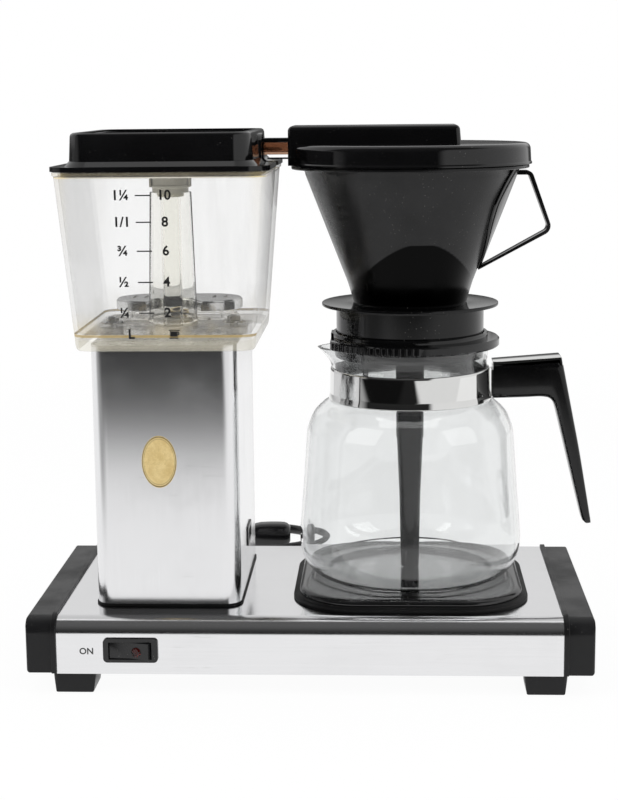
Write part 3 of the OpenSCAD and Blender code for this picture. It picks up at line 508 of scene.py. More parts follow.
def tube(path, radius, sides):
    """Rings round a path: r cos a sideways + r sin a upwards."""
    p = np.asarray(path, float)
    along = unit(np.gradient(p, axis=0))
    side = unit(np.cross(along, (0, 0, 1)))
    up = np.cross(side, along)
    a = circle(sides) + math.pi / sides
    across = side[:, None] * np.cos(a)[:, None] + up[:, None] * np.sin(a)[:, None]
    return p[:, None] + radius * across


def softened(node, finish, bevel=0, steps=2, sharp=35):
    """A copy of a CAD node, merged, its edges rounded by bevel millimetres."""
    source = NODES[node]
    mesh, body = source.data.copy(), source["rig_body"]
    obj = settle(node + "_smooth", mesh, finish, body, (node,), sharp, flatten=True)
    if bevel:
        cut = obj.modifiers.new("edges", "BEVEL")
        cut.width, cut.segments = bevel * MM, steps
        cut.limit_method, cut.angle_limit = "ANGLE", math.radians(30)
    return obj


def join(*parts):
    """Several (points, faces) as one."""
    points, faces, count = [], [], 0
    for p, f in parts:
        flat = np.asarray(p, float).reshape(-1, 3)
        points.append(flat)
        faces += [[i + count for i in face] for face in f]
        count += len(flat)
    return np.vstack(points), faces


def box_ring(x, y, z, size, corner):
    """A rounded upright block at x, y, z with its low face at z: (points, faces)."""
    w, d, h = size
    e = corner
    rings = [ring(w - 2 * e, d - 2 * e, e * 0.5, (x, y), 4), ring(w, d, e, (x, y), 4)]
    return capped(stack(rings + rings[::-1], [z, z + e, z + h - e, z + h]))


def plank(outline, low, high, edge):
    """A closed outline of (X, Z) drawn out along Y from low to high, its rims drawn
    in by edge towards the outline's own line: (points, faces)."""
    loop = np.asarray(outline, float)
    along = unit(np.roll(loop, -1, 0) - np.roll(loop, 1, 0))
    area = np.sum(loop[:, 0] * np.roll(loop[:, 1], -1) - np.roll(loop[:, 0], -1) * loop[:, 1])
    inward = np.column_stack([-along[:, 1], along[:, 0]]) * math.copysign(edge * 0.5, area)
    return capped([
        np.insert(loop + inward * share, 1, y, axis=1)
        for share, y in ((1, low), (0.3, low + edge * 0.4), (0, low + edge),
                         (0, high - edge), (0.3, high - edge * 0.4), (1, high))
    ])


# --- pieces

# Mains lead, from the end of its sleeve to the tail of the plug.
FLOOR = 3.6
LEAD_D = 7
ROUTE = [
    (-30, 110.5, 22), (-30, 124, 20.5), (-28, 138, 14), (-20, 151, 6.4), (-6, 158, 4),
] + [(x, y, FLOOR) for x, y in [
    (14, 160), (38, 159), (62, 159), (86, 169), (95, 192), (85, 216), (61, 225), (37, 219),
    (12, 204), (-16, 187), (-48, 175), (-84, 170), (-116, 173), (-141, 186), (-157, 207),
    (-161, 232), (-153, 257), (-135, 276), (-111, 285), (-86, 286), (-65, 288),
    (-46, 290.3), (-25, 281), (-14, 259), (-24, 236), (-47, 226), (-69, 219), (-91, 203.5),
    (-113, 191.5), (-137, 202), (-146, 225), (-136, 248), (-113, 257), (-95, 254.5),
    (-78, 250),
]]


def make_lead():
    """Lead, its sleeve, plug and pins."""
    thick = bpy.context.scene.coffee_sizes.lead / MM
    sleeve = softened("strain_relief", "lead", 0.25)
    plug = softened("cord_plug", "lead", sharp=60)
    pins = softened("plug_pins", "plated", 0.2)
    path = smooth(ROUTE, 8)
    lead = piece("lead", *capped(tube(path, thick / 2, 20)), "lead", "base", "cord")


def make_camera():
    """Camera at the front, a little above the lid, looking down at the base."""
    place = (0.0437, -1.01781, 0.33531)
    yaw, down, roll = 0.048, 0.1738, -0.0099
    data = bpy.data.cameras.new("camera")
    data.lens, data.clip_start, data.clip_end = 77.3685, 0.05, 20
    camera = bpy.context.scene.camera = added("camera", data)
    camera.matrix_world = Matrix.Translation(place)
    for angle, axis in ((yaw, "Z"), (math.pi / 2 - down, "X"), (roll, "Z")):
        camera.matrix_world @= Matrix.Rotation(angle, 4, axis)


def make_base():
    """Folded sheet with the switch's opening. The fold's outline is a quarter circle
    r (cos t, sin t) at each upper corner, wide in front and tight behind."""
    half, left, right = 82.5, -147.3, 141.3
    front_r, back_r, foot, gauge = 10, 2.5, 12, 1.2
    hole_x, hole_z = (-118.35, -91.15), (19.75, 32.35)
    t = np.linspace(math.pi, math.pi / 2, 24)
    arc = np.column_stack([np.cos(t), np.sin(t)])

    def path(inset):
        """Outline of the fold in Y and Z, from the front foot over to the back."""
        y, z = half - inset, BASE_TOP - inset
        r, q = front_r - inset, back_r - inset
        front = arc * r + (-y + r, z - r)
        rear = (arc * (-q, q))[::-1] + (y - q, z - q)
        face = [(-y, height) for height in (foot, *hole_z)]
        return np.vstack([face, front, rear, [(y, foot)]])

    loop = np.vstack([path(0), path(gauge)[::-1]])
    points, faces = capped([
        np.insert(loop, 0, x, axis=1)
        for x in (left, left + 0.2, *hole_x, 0, 55, right - 0.2, right)
    ])
    # The switch's opening: two cells of the grid go, and four walls join their edges.
    columns = len(loop)
    corners = ((2, 1), (3, 1), (3, 2), (2, 2))
    near = [row * columns + k for row, k in corners]
    far = [row * columns + columns - 1 - k for row, k in corners]
    faces = [face for face in faces if set(face) not in (set(near), set(far))]
    faces += [(near[k], near[k - 1], far[k - 1], far[k]) for k in range(4)]
    piece("base_sheet", points, faces, "sheet", "base", "base_shell", sharp=50)


def make_warming_plate():
    """Two-step enamelled plate in its rubber surround."""
    steps, centre = 24, (BREW_X, -2)
    w, low, top = 131, 48, PLATE_TOP

    def squares(rows):
        """Rounded squares from rows of (size, corner, height)."""
        rings = [ring(size, size, corner, centre, steps) for size, corner, _ in rows]
        return stack(rings, [z for *_, z in rows])

    square = [
        (w - 1, 34.5, low), (w, 35, low + 0.5), (w, 35, low + 1.6),
        (w - 0.8, 34.6, low + 2.2), (w - 3.6, 33.4, top - 0.5), (w - 5, 32.8, top - 0.05),
        (w - 7, 32, top),
    ]
    # Two shallow grooves run round the plate: radius and depth below the top.
    turn = unit(ring(100, 100, 35, (0, 0), steps))
    grooves = [
        (62, 0), (61.5, 0.1), (60.9, 0.6), (60.2, 0.6), (59.6, 0.1), (59, 0),
        (53, 0), (52.5, 0.1), (51.9, 0.5), (51.2, 0.5), (50.6, 0.1), (50, 0),
        (30, 0), (10, 0), (0, 0),
    ]
    inside = stack([turn * r + centre for r, _ in grooves], [top - dip for _, dip in grooves])
    solid = capped(np.concatenate([squares(square), inside]))
    piece("warming_plate", *solid, "plate_black", "base", "hot_plate")
    s, z = w + 7, BASE_TOP
    seal = [
        (s - 20, 28, z + 0.1), (s - 0.6, 37.7, z + 0.1), (s, 38, z + 0.6), (s, 38, z + 1.5),
        (s - 0.8, 37.6, z + 1.9), (s - 2.4, 36.8, z + 2), (s - 3, 36.5, z + 2.3),
        (s - 3.4, 36.3, low - 0.4), (s - 4.4, 35.8, low), (s - 20, 28, low),
    ]
    piece("plate_surround", *looped(squares(seal)), "rubber", "base", "hot_plate_seal")


def make_column():
    """Brushed column and its gasket."""
    w, back = 84.4, 56.6
    middle, d = (COLUMN_FRONT + back) / 2, back - COLUMN_FRONT
    corners = np.array([3, 3, 10, 10])

    def outline(inset):
        return ring(w - 2 * inset, d - 2 * inset, np.maximum(corners - inset, 0.3),
                    (COLUMN_X, middle), 16)

    low, high, z = 46.3, 198, BASE_TOP + 0.05
    rings = [outline(inset) for inset in (0, 0, 1, 1)]
    solid = looped(stack(rings, [low, high, high, low]))
    piece("column", *solid, "satin", "base", "column_shell", sharp=50)
    rings = [outline(inset) for inset in (2.6, -0.4, -0.7, -0.7, -0.3, 2.6)]
    solid = looped(stack(rings, [z, z, z + 0.3, z + 1, z + 1.5, z + 1.5]))
    piece("column_foot_seal", *solid, "rubber", "base", "column_gasket")


def tank_size(z):
    """How far down the tank height z is, from 0 to 1, and its width and depth there."""
    t = (TANK_RIM - z) / (TANK_RIM - TANK_FLOOR)
    return t, TANK_TOP[0] - TANK_TAPER[0] * t, TANK_TOP[1] - TANK_TAPER[1] * t


def tank_ring(inset, z):
    """Ring of the tapering tank at height z, drawn in by inset."""
    t, width, depth = tank_size(z)
    return ring(width - 2 * inset, depth - 2 * inset, 14 - 4 * t - inset,
                (TANK_X + 0.5 * t, TANK_Y), 12)


def make_tank():
    """Clear tank with its rim, skirt and peg, and the riser in it."""
    wall, skirt, foot, floor, rim = 2.5, 1.6, 195.5, TANK_FLOOR, TANK_RIM
    section = [
        (2.4 + skirt, floor - wall), (skirt + 0.4, floor - wall - 0.6), (skirt, foot + 0.6),
        (skirt - 0.2, foot), (1.1, foot), (0.6, foot + 0.4), (0.2, foot + 1.4), (0, foot + 3),
        (0, 214), (0, 240), (0, 268), (0, rim - 3), (-0.2, rim - 2.3), (-0.9, rim - 1.9),
        (-0.9, rim - 0.5), (-0.5, rim), (wall - 0.6, rim), (wall, rim - 0.6), (wall, 268),
        (wall, 240), (wall, 214), (wall, floor + 2), (wall + 0.5, floor + 0.6),
        (wall + 2, floor),
    ]
    body = stack([tank_ring(*row) for row in section], [z for _, z in section])
    low, high = rim - 0.6, rim + 4
    peg = lathe([(0, low), (2, low), (2, high - 0.6), (1.4, high), (0, high)], 24)
    solids = join(capped(body), capped(moved(peg, -25.5)))
    piece("tank", *solids, "tank_plastic", "base", "water_tank")
    riser = [
        (4.85, 184.1), (5.95, 184.1), (5.95, 279.7), (5.6, 280), (5.1, 280), (4.85, 279.7),
    ]
    turned("riser", riser, "clear", "base", "riser_tube", at=RISER_X, steps=48)
    low = TANK_FLOOR + 0.12
    sleeve = rounded([
        (12.6, low), (15, low), (15, low + 2), (14.4, low + 2.6), (12.3, 281.6), (11.3, 281.6),
        (13, low + 3), (12.6, low + 2),
    ], 0.4, 3)
    turned("riser_guard", sleeve, "clear", "base", "riser_sleeve", at=RISER_X, steps=64)
    collar = rounded([
        (6.05, 278.6), (8, 278.6), (8, 281), (10.7, 281), (10.7, 284), (11.2, 284.4),
        (11.2, 285.6), (10.7, 286), (10.7, 290), (6.2, 290), (6.2, 281), (6.05, 280.6),
    ], 0.2, 3)
    clips = [box_ring(RISER_X + x, 0, 284.5, (1.2, 7, 5), 0.3) for x in (-11.6, 11.6)]
    solids = join(looped(moved(lathe(collar, 64), RISER_X)), *clips)
    piece("collar", *solids, "collar", "base", "riser_collar")


def wall_mark(x, z):
    """Point just outside the tank's sloping front wall."""
    return Vector((x, TANK_Y - tank_size(z)[2] / 2 - 0.16, z))


def lettering(name, words, finish, tilt, depth, weight):
    """Thin raised lettering. words holds (text, size, place) with its middle there,
    its strokes thickened by weight."""
    meshes = []
    for text, size, place in words:
        curve = bpy.data.curves.new(name, "FONT")
        curve.body, curve.size, curve.offset = text, size, weight
        curve.align_x = curve.align_y = "CENTER"
        curve.extrude, curve.resolution_u = depth / 2, 3
        maker = added(name, curve)
        bpy.context.view_layer.update()
        mesh = bpy.data.meshes.new_from_object(maker)
        bpy.data.objects.remove(maker)
        mesh.transform(Matrix.Translation(place) @ Matrix.Rotation(tilt, 4, "X"))
        meshes.append(mesh)
    solids = join(*[
        ([v.co[:] for v in m.vertices], [list(q.vertices) for q in m.polygons])
        for m in meshes
    ])
    piece(name, *solids, finish, "base", sharp=30)


def make_scale():
    """Litre and cup scale on the tank, and the switch's ON."""
    tilt = math.pi / 2 + math.atan2(TANK_TAPER[1] / 2, TANK_RIM - TANK_FLOOR)
    rows = [
        ("1¼", "10", 283.4), ("1/1", "8", 268.6), ("¾", "6", 252.5), ("½", "4", 235),
        ("¼", "2", 217.6),
    ]
    size, foot = 7.6, 205.4
    words = [("L", size, wall_mark(-101.6, foot))]
    ticks = []
    for litres, cups, z in rows:
        words += [(litres, size, wall_mark(-104.6, z)), (cups, size, wall_mark(-80.6, z))]
        x, y, _ = wall_mark(-92.5, z)
        ticks.append(box_ring(x, y, z - 0.35, (8.5, 0.2, 0.7), 0.05))
    lettering("scale_numbers", words, "ink", tilt, 0.12, 0.2)
    cup = wall_mark(-77.6, foot)
    for x, z, wide, high in ((0, -2.4, 5, 0.6), (0, -1.2, 4.2, 2.9), (2.7, -0.4, 0.7, 1.6),
                             (2.4, 1, 1.2, 0.5), (0.3, 2.1, 6.4, 0.5)):
        ticks.append(box_ring(cup.x + x, cup.y, cup.z + z, (wide, 0.2, high), 0.05))
    piece("scale_ticks", *join(*ticks), "ink", "base")
    words = [("ON", 5.2, Vector((-129.9, -82.56, 25.3)))]
    lettering("switch_word", words, "print_grey", math.pi / 2, 0.06, 0.12)


def make_basket():
    """Cone basket with its waist, deck, skirt and ribs. The cone's radius c and the
    waist's, e = 1 / sqrt((cos b / p)^2 + (sin b / q)^2) with p and q growing upwards,
    meet as (c + e + sqrt((c - e)^2 + s^2)) / 2, less half the softness s where c is e."""
    (foot_r, foot_z), (top_r, top_z) = CONE_FOOT, CONE_TOP
    rim, seat, deck = 296.5, 193.5, 216
    wall, soft, waist_high, waist_turn = 2.5, 1, 39, math.radians(7.6)
    outer_z = np.linspace(deck, top_z - 1.5, 48)
    outer = [(cone_at(z), z) for z in outer_z]
    under = rounded([
        (4, deck - 2), (41.7, deck - 2), (41.7, seat), (43.7, seat), (43.7, deck - 2),
        (52.2, deck - 2), (52.2, deck), (37, deck),
    ], [0.3, 1.5, 0.6, 0.6, 1.5, 0.6, 0.6, 0.1], 5)
    over = rounded([
        (62.35, rim - 2), (69.5, rim - 2), (69.5, rim), (60.85, rim), (59.35, rim - 2),
        (foot_r - wall, foot_z + 1.5), (4, foot_z + 0.5),
    ], [0.4, 0.6, 0.6, 0.5, 1, 1, 0.3], 5)
    profile = np.vstack([under, outer, over])
    steps = 192
    points = lathe(profile, steps)
    turn = circle(steps)
    b = turn[None] - waist_turn
    rise = (outer_z - deck + 1)[:, None]
    waist = 1 / np.sqrt((np.cos(b) / (33.4 + 0.27 * rise)) ** 2
                        + (np.sin(b) / (34.9 + 0.31 * rise)) ** 2)
    cone = cone_at(outer_z)[:, None]
    waist = np.where(rise < waist_high, waist, 0)
    blend = 0.5 * (cone + waist + np.sqrt((cone - waist) ** 2 + soft**2)) - soft / 2
    radius = np.maximum(cone, blend)
    rows = slice(len(under), len(under) + len(outer))
    points[rows, :, 0] = BREW_X + radius * np.cos(turn)
    points[rows, :, 1] = radius * np.sin(turn)
    body = looped(points)
    line = [(foot_r - wall - 2, foot_z + 1.2), (foot_r - wall + 0.4, foot_z + 1.2),
            (top_r - wall + 0.4, top_z - 3), (top_r - wall - 5, top_z - 12)]
    rib, faces = plank(rounded(line, 0.5, 3), -0.7, 0.7, 0.3)
    ribs = []
    for a in np.radians(np.arange(15, 360, 30)):
        c, s = math.cos(a), math.sin(a)
        ribs.append((rib @ [[c, s, 0], [-s, c, 0], [0, 0, 1]] + (BREW_X, 0, 0), faces))
    piece("basket_cone", *join(body, *ribs), "cone_black", "brew_basket", "brew_basket")


def cone_at(z, mm=1):
    """Radius of the basket's cone at height z: a straight line from foot to top."""
    (foot_r, foot_z), (top_r, top_z) = CONE_FOOT, CONE_TOP
    return (z - foot_z * mm) * ((top_r - foot_r) / (top_z - foot_z)) + foot_r * mm


def make_basket_handle():
    """Bent strap and the shield-shaped pad that carries it. The pad lies on the cone:
    at height z and t across it, y = t w(z) and x = sqrt(r(z)^2 - y^2)."""

    def bend(top_r, foot_r):
        """The strap's two bends: an arc of each radius."""
        a, b = np.radians(np.linspace(90, 20, 14)), np.radians(np.linspace(20, -62, 16))
        return np.vstack([
            np.column_stack([123.1 + top_r * np.cos(a), 288.2 + top_r * np.sin(a)]),
            np.column_stack([131.9 + foot_r * np.cos(b), 260.5 + foot_r * np.sin(b)]),
        ])

    top, under, foot, heel = [
        (BREW_X + cone_at(z) + 0.6, z + up)
        for z, up in ((291.4, 1.3), (290.2, 0), (234.9, 0), (237, 0))
    ]
    strap = np.vstack([[top], bend(4.5, 5.5), [foot, heel], bend(2, 3.5)[::-1], [under]])
    outline = smooth([
        (23, 294), (26, 287), (27, 279), (26.4, 272), (22.5, 262), (15, 251), (9, 243),
        (5, 237.5), (2.5, 235.6),
    ], 6)
    t = np.linspace(-1, 1, 49)
    y = outline[:, :1] * t[None]
    z = np.broadcast_to(outline[:, 1:2], y.shape)
    lift = 1.5 - 0.5 * np.abs(t[None]) ** 24
    skins = [
        np.stack([BREW_X + np.sqrt((cone_at(z) + gap) ** 2 - y**2), y, z], -1)
        for gap in (lift, 0.3)
    ]
    pad = np.concatenate([skins[0], skins[1][:, ::-1]], 1)
    piece("strap_handle", *join(plank(strap, -6, 6, 0.5), capped(pad)), "gloss_black",
          "brew_basket", "basket_handle", sharp=45)


GLASS_SIDE = [
    (50, 51.5), (58.5, 54), (63.6, 60), (66, 67), (66.5, 76), (65.4, 92), (64, 108),
    (62.8, 125), (61.9, 137), (61, 142), (58, 149), (54.6, 153), (50.6, 156.4), (46.5, 158.7),
]


def make_glass():
    """Blown jug with a thin wall and a pouring lip. The lip pushes a point of the
    neck out by 8.5 exp(-(a/0.3)^2) h^2, a its angle from the left and h its height."""
    wall, floor, rim = 2, 53.3, 189
    neck = smooth([(46.5, 159.4), (46.5, 168), (46.4, 176), (45.9, 180), (46.5, 185.5),
                   (46.6, rim)], 5)
    outer = np.vstack([[(0, 52), (30, 52), (46, 51.7)], smooth(GLASS_SIDE, 8)[:-1], neck])
    tangent = unit(np.gradient(outer, axis=0))
    normal = np.column_stack([-tangent[:, 1], tangent[:, 0]])
    inner = outer + normal * wall
    inner[:3, 1] = floor
    inner[0, 0] = 0
    lip = [(46.2, 189.4), (45.6, 189.5), (45, 189.4)]
    profile = np.vstack([outer, lip, inner[::-1]])
    steps = 192
    points = lathe(profile, steps)
    angle = circle(steps) - math.pi
    share = np.clip((points[..., 2] - 173) / 16, 0, 1) ** 2
    push = 8.5 * np.exp(-((angle[None] / 0.3) ** 2)) * share
    points[..., 0] -= push
    points[..., 2] = np.minimum(points[..., 2], rim)
    piece("jug", points, grid_faces(len(profile), steps, ends=False), "glass", "carafe",
          "carafe_glass", sharp=80)


# Carafe handle: X and Z of its outer line, X and Z of its inner line, half its width.
HANDLE_ARM = [
    (104.6, 180.4, 104.6, 158.2, 8.6), (112, 181, 112, 158.4, 9.2),
    (124, 181.9, 124, 158.8, 9.6), (134, 182.6, 132.5, 159.2, 9.8),
    (145, 183.4, 137.2, 158.6, 9.8),
]
HANDLE_GRIP = [
    HANDLE_ARM[-1], (146.4, 177, 139.4, 157, 9.8), (148.9, 164.5, 141.4, 153, 9.8),
    (152.3, 147.6, 145.2, 138.2, 9.7),
    (156.4, 127, 149.9, 119, 9.4), (160.3, 104.8, 154.8, 99, 9),
    (163.1, 88.5, 158.2, 85.6, 8.2), (163.8, 84.6, 159.6, 83.2, 7.4),
    (164.1, 82.4, 160.8, 82, 6.2),
]


def make_handle():
    """Handle and its bright strip. Each section is a rounded rectangle between the
    outer and inner lines: centre + w |cos a|^0.4 across + h |sin a|^0.4 up."""
    line = np.vstack([smooth(HANDLE_ARM, 6)[:-1], smooth(HANDLE_GRIP, 8)])
    outer, inner = (np.insert(line[:, k : k + 2], 1, 0, axis=1)[:, None] for k in (0, 2))
    across = (line[:, 4:] * (0, 1, 0))[:, None]
    a = 2 * math.pi * (np.arange(48)[:, None] + 0.5) / 48
    c = np.sign(np.cos(a)) * np.abs(np.cos(a)) ** 0.4
    s = np.sign(np.sin(a)) * np.abs(np.sin(a)) ** 0.4
    rings = (outer + inner) / 2 + across * c + (outer - inner) / 2 * s
    # The strip's seat: nothing of the handle stands above the strip's lower line.
    x = rings[..., 0]
    seat = np.where(x < 143.7, 178.5 + (x - 104.4) * 3 / 39, 178.3)
    rings[..., 2] = np.minimum(rings[..., 2], seat)
    piece("grip", *capped(rings), "grip_black", "carafe", "carafe_handle", sharp=50)
    strip = rounded([
        (104.4, 178.6), (143.4, 181.6), (144.1, 178.4), (145.6, 178.4), (144.8, 183.6),
        (104.4, 180.5),
    ], [0.2, 0.3, 0.2, 0.3, 0.9, 0.3], 4)
    piece("grip_strip", *plank(strip, -9.3, 9.3, 0.5), "chrome", "carafe", "handle_trim")


def make_carafe():
    """Jug with its band, clip, handle, lid and mixing tube."""
    make_glass()
    r, z, h = 46.5, 158, 19
    band = rounded([
        (r + 0.15, z + 1), (r + 1.6, z), (r + 2.2, z + 0.4), (r + 1.4, z + 4),
        (r + 1, z + h - 1), (r + 0.6, z + h), (r + 0.15, z + h),
    ], 0.4, 4)
    turned("neck_band", band, "chrome", "carafe", "carafe_band", steps=192)
    softened("band_clip", "chrome", 0.3)
    make_handle()
    softened("carafe_lid", "gloss_black", 0.3, 3)
    mixer = rounded([
        (6, 190.2), (6, 152), (5.6, 132), (4.8, 98), (4.2, 54), (5.45, 54), (6.35, 98),
        (7.8, 132), (7.8, 133.4), (8.25, 134), (8.25, 152), (8.6, 184), (10, 186), (10, 189.9),
        (7.3, 189.9), (7.3, 192.4), (6, 192.4),
    ], 0.4, 4)
    turned("mixer", mixer, "gloss_black", "carafe_lid", "mixing_tube", steps=64)


# CAD shapes under the covers, by finish.
PLAIN = {
    "plated": "bottom_plate foot_screws hot_plate_element column_top_plate boiler_heater "
    "boiler_clips",
    "ceramic": "thermostat terminal_block",
    "copper": "boiler_tube", "brass": "check_valve", "silicone": "boiler_hoses",
}

# Visible CAD shapes that get softer edges, by operator: finish, radius in millimetres
# and, where they aren't usual, segments and sharp angle.
SOFT_EDGES = {
    "base": {
        "end_cap_left": ("cap_black", 0.55, 3), "end_cap_right": ("cap_black", 0.55, 3),
        "feet": ("cap_black", 0.5),
    },
    "switch": {
        "switch_frame": ("switch_black", 0.3, 3), "switch_rocker": ("switch_black", 0.3, 3),
        "switch_lens": ("lens", 0.15),
    },
    "column": {
        "rear_panel": ("satin", 0.3), "rear_panel_screws": ("plated", 0.2),
        "side_vent": ("switch_black", 0.2),
    },
    "tank": {
        "filter_plate": ("polished", 0.7, 3), "strainer_comb": ("clear", 0),
        "star_washers": ("polished", 0.2), "tank_studs": ("plated", 0.2),
        "tank_seals": ("silicone", 0),
    },
    "tank_lid": {"tank_lid": ("gloss_black", 0.35, 3, 40)},
    "outlet_arm": {
        "outlet_arm": ("amber", 0.25), "arm_cover": ("gloss_black", 0.4),
        "arm_rest": ("gloss_black", 0.15),
    },
    "brew_basket": {"basket_lid": ("gloss_black", 0.4, 3, 40)},
}


def make_inside():
    """Finishes of the parts under the covers."""
    for finish, nodes in PLAIN.items():
        for node in nodes.split():
            NODES[node].data.materials.clear()
            NODES[node].data.materials.append(FINISHES[finish])


def make_badge():
    """Plain gilt oval on the column's front."""
    a = circle(72)
    oval = np.column_stack([np.cos(a), np.sin(a)]) * BADGE_SIZE
    rows = [
        np.insert(BADGE + oval * share, 1, COLUMN_FRONT - lift, axis=1)
        for share, lift in ((1, 0.02), (1, 0.12), (0.97, 0.16), (0, 0.16))
    ]
    piece("badge", *capped(rows), "gilt", "base")


def gilt(name):
    """Printed gilt paper: dark border lines and a faint grain in place of print."""
    f, p = begin(name)
    x = (f.axis(p, "X") - BADGE[0] * MM) / (BADGE_SIZE[0] * MM)
    z = (f.axis(p, "Z") - BADGE[1] * MM) / (BADGE_SIZE[1] * MM)
    r = (x * x + z * z) ** 0.5
    border = r.ramp(0.93, 0.95) * r.ramp(0.985, 0.97)
    border = border + r.ramp(0.86, 0.87) * r.ramp(0.9, 0.89) * 0.5
    fade = f.noise(p, 160, 6, 0.7)
    grain = f.noise(p, 2500, 2)
    tone = f.mix(fade.ramp(0.35, 0.75), (0.75, 0.59, 0.28), (0.6, 0.43, 0.17))
    worn = f.mix(grain.ramp(0.45, 0.7) * 0.4, tone, (0.45, 0.32, 0.13))
    return f.surface(
        Base_Color=f.mix(border.cap(1) * 0.85, worn, (0.03, 0.022, 0.015)),
        Metallic=0.2,
        Roughness=fade.ramp(0.3, 0.7, 0.38, 0.55),
        Normal=f.bump(grain, 0.1, 0.0001),
    )


def cone_black(name, colour):
    """Black plastic that is dull with handling over the cone and polished at the waist,
    which is wherever the surface stands outside the cone's own radius."""
    f, p = begin(name)
    x, y, z = f.axis(p, "X") - BREW_X * MM, f.axis(p, "Y"), f.axis(p, "Z")
    r = (x * x + y * y) ** 0.5
    proud = (r - cone_at(z, MM)).ramp(0.00001, 0.00006)
    # Painted dark reflection: the waist is near-black metal with no dust on it.
    waist = proud * z.ramp(0.2162, 0.2168) * z.ramp(0.2530, 0.2524)
    smear = f.noise(p, 30, 5, 0.62)
    streak = f.noise(f.stretch(p, (70, 70, 14)), 1, 4, 0.6)
    speck = f.specks(p, 420, 0.14) * smear.ramp(0.45, 0.62) * (1 - waist)
    foot = z.ramp(0.2168, 0.2160)
    handled = tuple(c * 2.4 + 0.003 for c in colour)
    dull = f.mix(smear.ramp(0.3, 0.8) * (1 - foot), colour, handled)
    dusty = f.mix(speck * 0.25, dull, (0.3, 0.29, 0.27))
    return f.surface(
        # The waist's painted dark reflection: near-black colour and full metal there.
        Base_Color=f.mix(waist, dusty, (0.006, 0.006, 0.006)),
        Metallic=waist,
        Roughness=streak.ramp(0.3, 0.75, 0.16, 0.3) * (1 - foot * 0.6) + speck * 0.3,
        Normal=f.bump(smear * 0.5 + streak * 0.1 + speck * 0.3, 0.1, 0.0006),
        Specular=0.34,
    )


# --- stage


def stage_finish():
    """Pale floor that shows white to the camera except where the object shades it.
    In gloss it is white near the object and to its right, and dark far in front."""
    f, p = begin("floor")
    paper = f.noise(p, 60, 3)
    diffuse = f.node("BsdfDiffuse", None, {
        "Color": f.mix(paper, (0.82, 0.82, 0.82), (0.84, 0.84, 0.84))
    })
    glow = f.node("Emission")
    x, y = f.axis(p, "X"), f.axis(p, "Y")
    near = y.ramp(-0.94, -0.57, 0.015, 1)
    dim = x.ramp(-0.3, -0.65) * y.ramp(-0.1, -0.4) * 0.6
    near = (near * (1 - dim)).at_least(x.ramp(0.32, 0.6, 0, 0.85))
    near = near * y.ramp(2.2, 1, 0.45, 1)
    shine = f.node("Emission", None, {"Color": f.mix(near, (0, 0, 0), (0.97, 0.97, 0.97))})
    far = ((x * x + y * y) ** 0.5).ramp(0.5, 1.3, 0.95, 1)
    seen = f.ray("Camera") * far + f.ray("Transmission")
    glossy = f.ray("Glossy") * (1 - f.ray("Transmission"))
    shader = f.blend(glossy, f.blend(seen.cap(1), diffuse, glow), shine)
    f.node("OutputMaterial", None, {"Surface": shader})
    return f.material


def make_world():
    """White studio for the eye and through glass. In gloss the front is dark up to the
    height of the lids, the right side is bright and the back is light grey."""
    world = bpy.data.worlds.new("studio")
    world.use_nodes = True
    bpy.context.scene.world = world
    f = Finish("studio", world.node_tree)
    way = f.node("TexCoord", out="Generated")
    x, y, z = (f.axis(way, name) for name in "XYZ")
    front = y.ramp(0.1, -0.1)
    ahead = z.ramp(0.1, 0.9, 0.018, 0.1)
    behind = z.ramp(0.04, 0.22, 0.1, 0.8) * z.ramp(1, 0.4, 0.8, 1)
    right = x.ramp(0.4, 0.55) * 0.85
    left = x.ramp(-0.86, -0.97) * 0.4
    box = right.at_least(left) * z.ramp(0.75, 0.45)
    strip = y.ramp(-0.05, 0) * y.ramp(0.16, 0.1) * z.ramp(0.88, 0.95) * 1.1
    gloss = (front * ahead + (1 - front) * behind).at_least(box).at_least(strip)
    seen = (f.ray("Camera") + f.ray("Transmission")).cap(1)
    shine = f.ray("Glossy")
    strength = seen + (1 - seen) * (shine * gloss + (1 - shine) * 0.66)
    back = f.node("Background", None, {"Color": (1, 1, 1), "Strength": strength})
    f.node("OutputWorld", None, {"Surface": back})


def make_lights():
    """Two soft boxes and one from above."""
    lamps = [
        ("left_box", (-1.1, -0.7, 0.8), (1, 1), 8),
        ("right_box", (1.2, -0.6, 0.7), (0.9, 1), 6.5),
        ("top_box", (0, 0, 1.3), (1, 1), 8),
    ]
    for name, place, size, power in lamps:
        data = bpy.data.lights.new(name, "AREA")
        data.shape, data.size, data.size_y, data.energy = "RECTANGLE", *size, power
        lamp = added(name, data)
        aim = Vector((0, 0, 0.12)) - Vector(place)
        turn = aim.to_track_quat("-Z", "Y").to_matrix().to_4x4()
        lamp.matrix_world = Matrix.Translation(place) @ turn
        lamp.visible_camera = lamp.visible_glossy = False


def make_stage():
    """Floor, studio and soft lights."""
    bpy.context.scene.view_settings.view_transform = "Standard"
    mesh = bpy.data.meshes.new("floor")
    mesh.from_pydata([(-4, -4, 0), (4, -4, 0), (4, 4, 0), (-4, 4, 0)], [], [(0, 1, 2, 3)])
    mesh.materials.append(stage_finish())
    added("floor", mesh)
    make_world()
    make_lights()


# --- add-on


class CoffeeColours(PropertyGroup):
    """Colours of the main finishes."""

    black: FloatVectorProperty(
        name="Black", description="Colour of the glossy mouldings", subtype="COLOR",
        default=(0.0022, 0.0022, 0.0024), min=0, max=1,
    )
    metal: FloatVectorProperty(
        name="Metal", description="Colour of the sheet metal", subtype="COLOR",
        default=(0.84, 0.84, 0.85), min=0, max=1,
    )
    aged: FloatVectorProperty(
        name="Aged plastic", description="Colour of the tank where it has yellowed",
        subtype="COLOR", default=(0.78, 0.64, 0.36), min=0, max=1,
    )


class CoffeeSizes(PropertyGroup):
    """Sizes of the visible details."""

    lead: FloatProperty(
        name="Lead", description="Diameter of the mains lead", unit="LENGTH",
        default=LEAD_D * MM, min=0.004, max=0.01,
    )


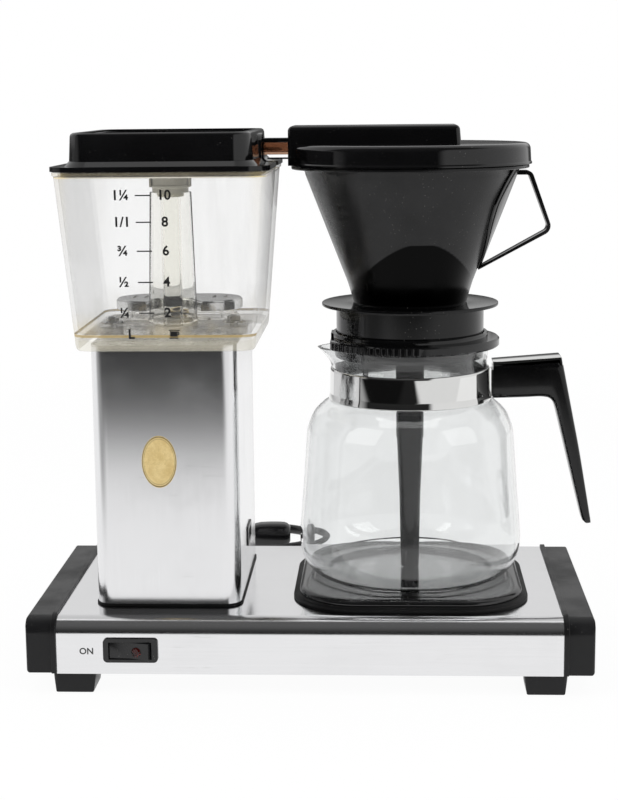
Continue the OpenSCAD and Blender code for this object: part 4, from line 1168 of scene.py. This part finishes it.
def operator(idname, doc, *makers):
    """An operator that runs makers in order and softens the CAD shapes of its group."""

    def execute(self, context):
        for make in makers:
            make()
        for node, facts in SOFT_EDGES.get(idname, {}).items():
            softened(node, *facts)
        return {"FINISHED"}

    return type(
        "COFFEE_OT_" + idname, (Operator,),
        {
            "bl_idname": "coffee." + idname,
            "bl_label": idname.replace("_", " ").capitalize(),
            "bl_options": {"REGISTER"}, "__doc__": doc, "execute": execute,
        },
    )


STEPS = [operator(*facts) for facts in (
    ("camera", "Puts the camera in front", make_camera),
    ("finishes", "Makes the finishes", make_finishes),
    ("lead", "Makes the mains lead and its plug", make_lead),
    ("base", "Makes the base", make_base),
    ("switch", "Makes the switch"),
    ("warming_plate", "Makes the warming plate", make_warming_plate),
    ("column", "Makes the column", make_column),
    ("badge", "Makes the gilt badge", make_badge),
    ("tank", "Makes the tank and its riser", make_tank),
    ("scale", "Makes the printed scale and word", make_scale),
    ("tank_lid", "Makes the tank's lid"),
    ("outlet_arm", "Makes the outlet arm"),
    ("brew_basket", "Makes the basket, its handle and its lid", make_basket,
     make_basket_handle),
    ("carafe", "Makes the carafe", make_carafe),
    ("inside", "Finishes the inner parts", make_inside),
    ("stage", "Makes the floor, studio and lights", make_stage),
)]


class COFFEE_PT_panel(Panel):
    """Lists the pieces and their sizes and colours."""

    bl_label = "Coffee maker"
    bl_idname = "COFFEE_PT_panel"
    bl_space_type = "VIEW_3D"
    bl_region_type = "UI"
    bl_category = "Coffee maker"

    def draw(self, context):
        for group in (context.scene.coffee_colours, context.scene.coffee_sizes):
            for key in group.__annotations__:
                self.layout.prop(group, key)
        for step in STEPS:
            self.layout.operator(step.bl_idname)


CLASSES = [CoffeeColours, CoffeeSizes, *STEPS, COFFEE_PT_panel]


def register():
    for item in CLASSES:
        bpy.utils.register_class(item)
    bpy.types.Scene.coffee_colours = PointerProperty(type=CoffeeColours)
    bpy.types.Scene.coffee_sizes = PointerProperty(type=CoffeeSizes)


def unregister():
    del bpy.types.Scene.coffee_colours
    del bpy.types.Scene.coffee_sizes
    for item in reversed(CLASSES):
        bpy.utils.unregister_class(item)


def main():
    register()
    for step in STEPS:
        getattr(bpy.ops.coffee, step.bl_idname.split(".")[1])()


if __name__ == "__main__":
    main()
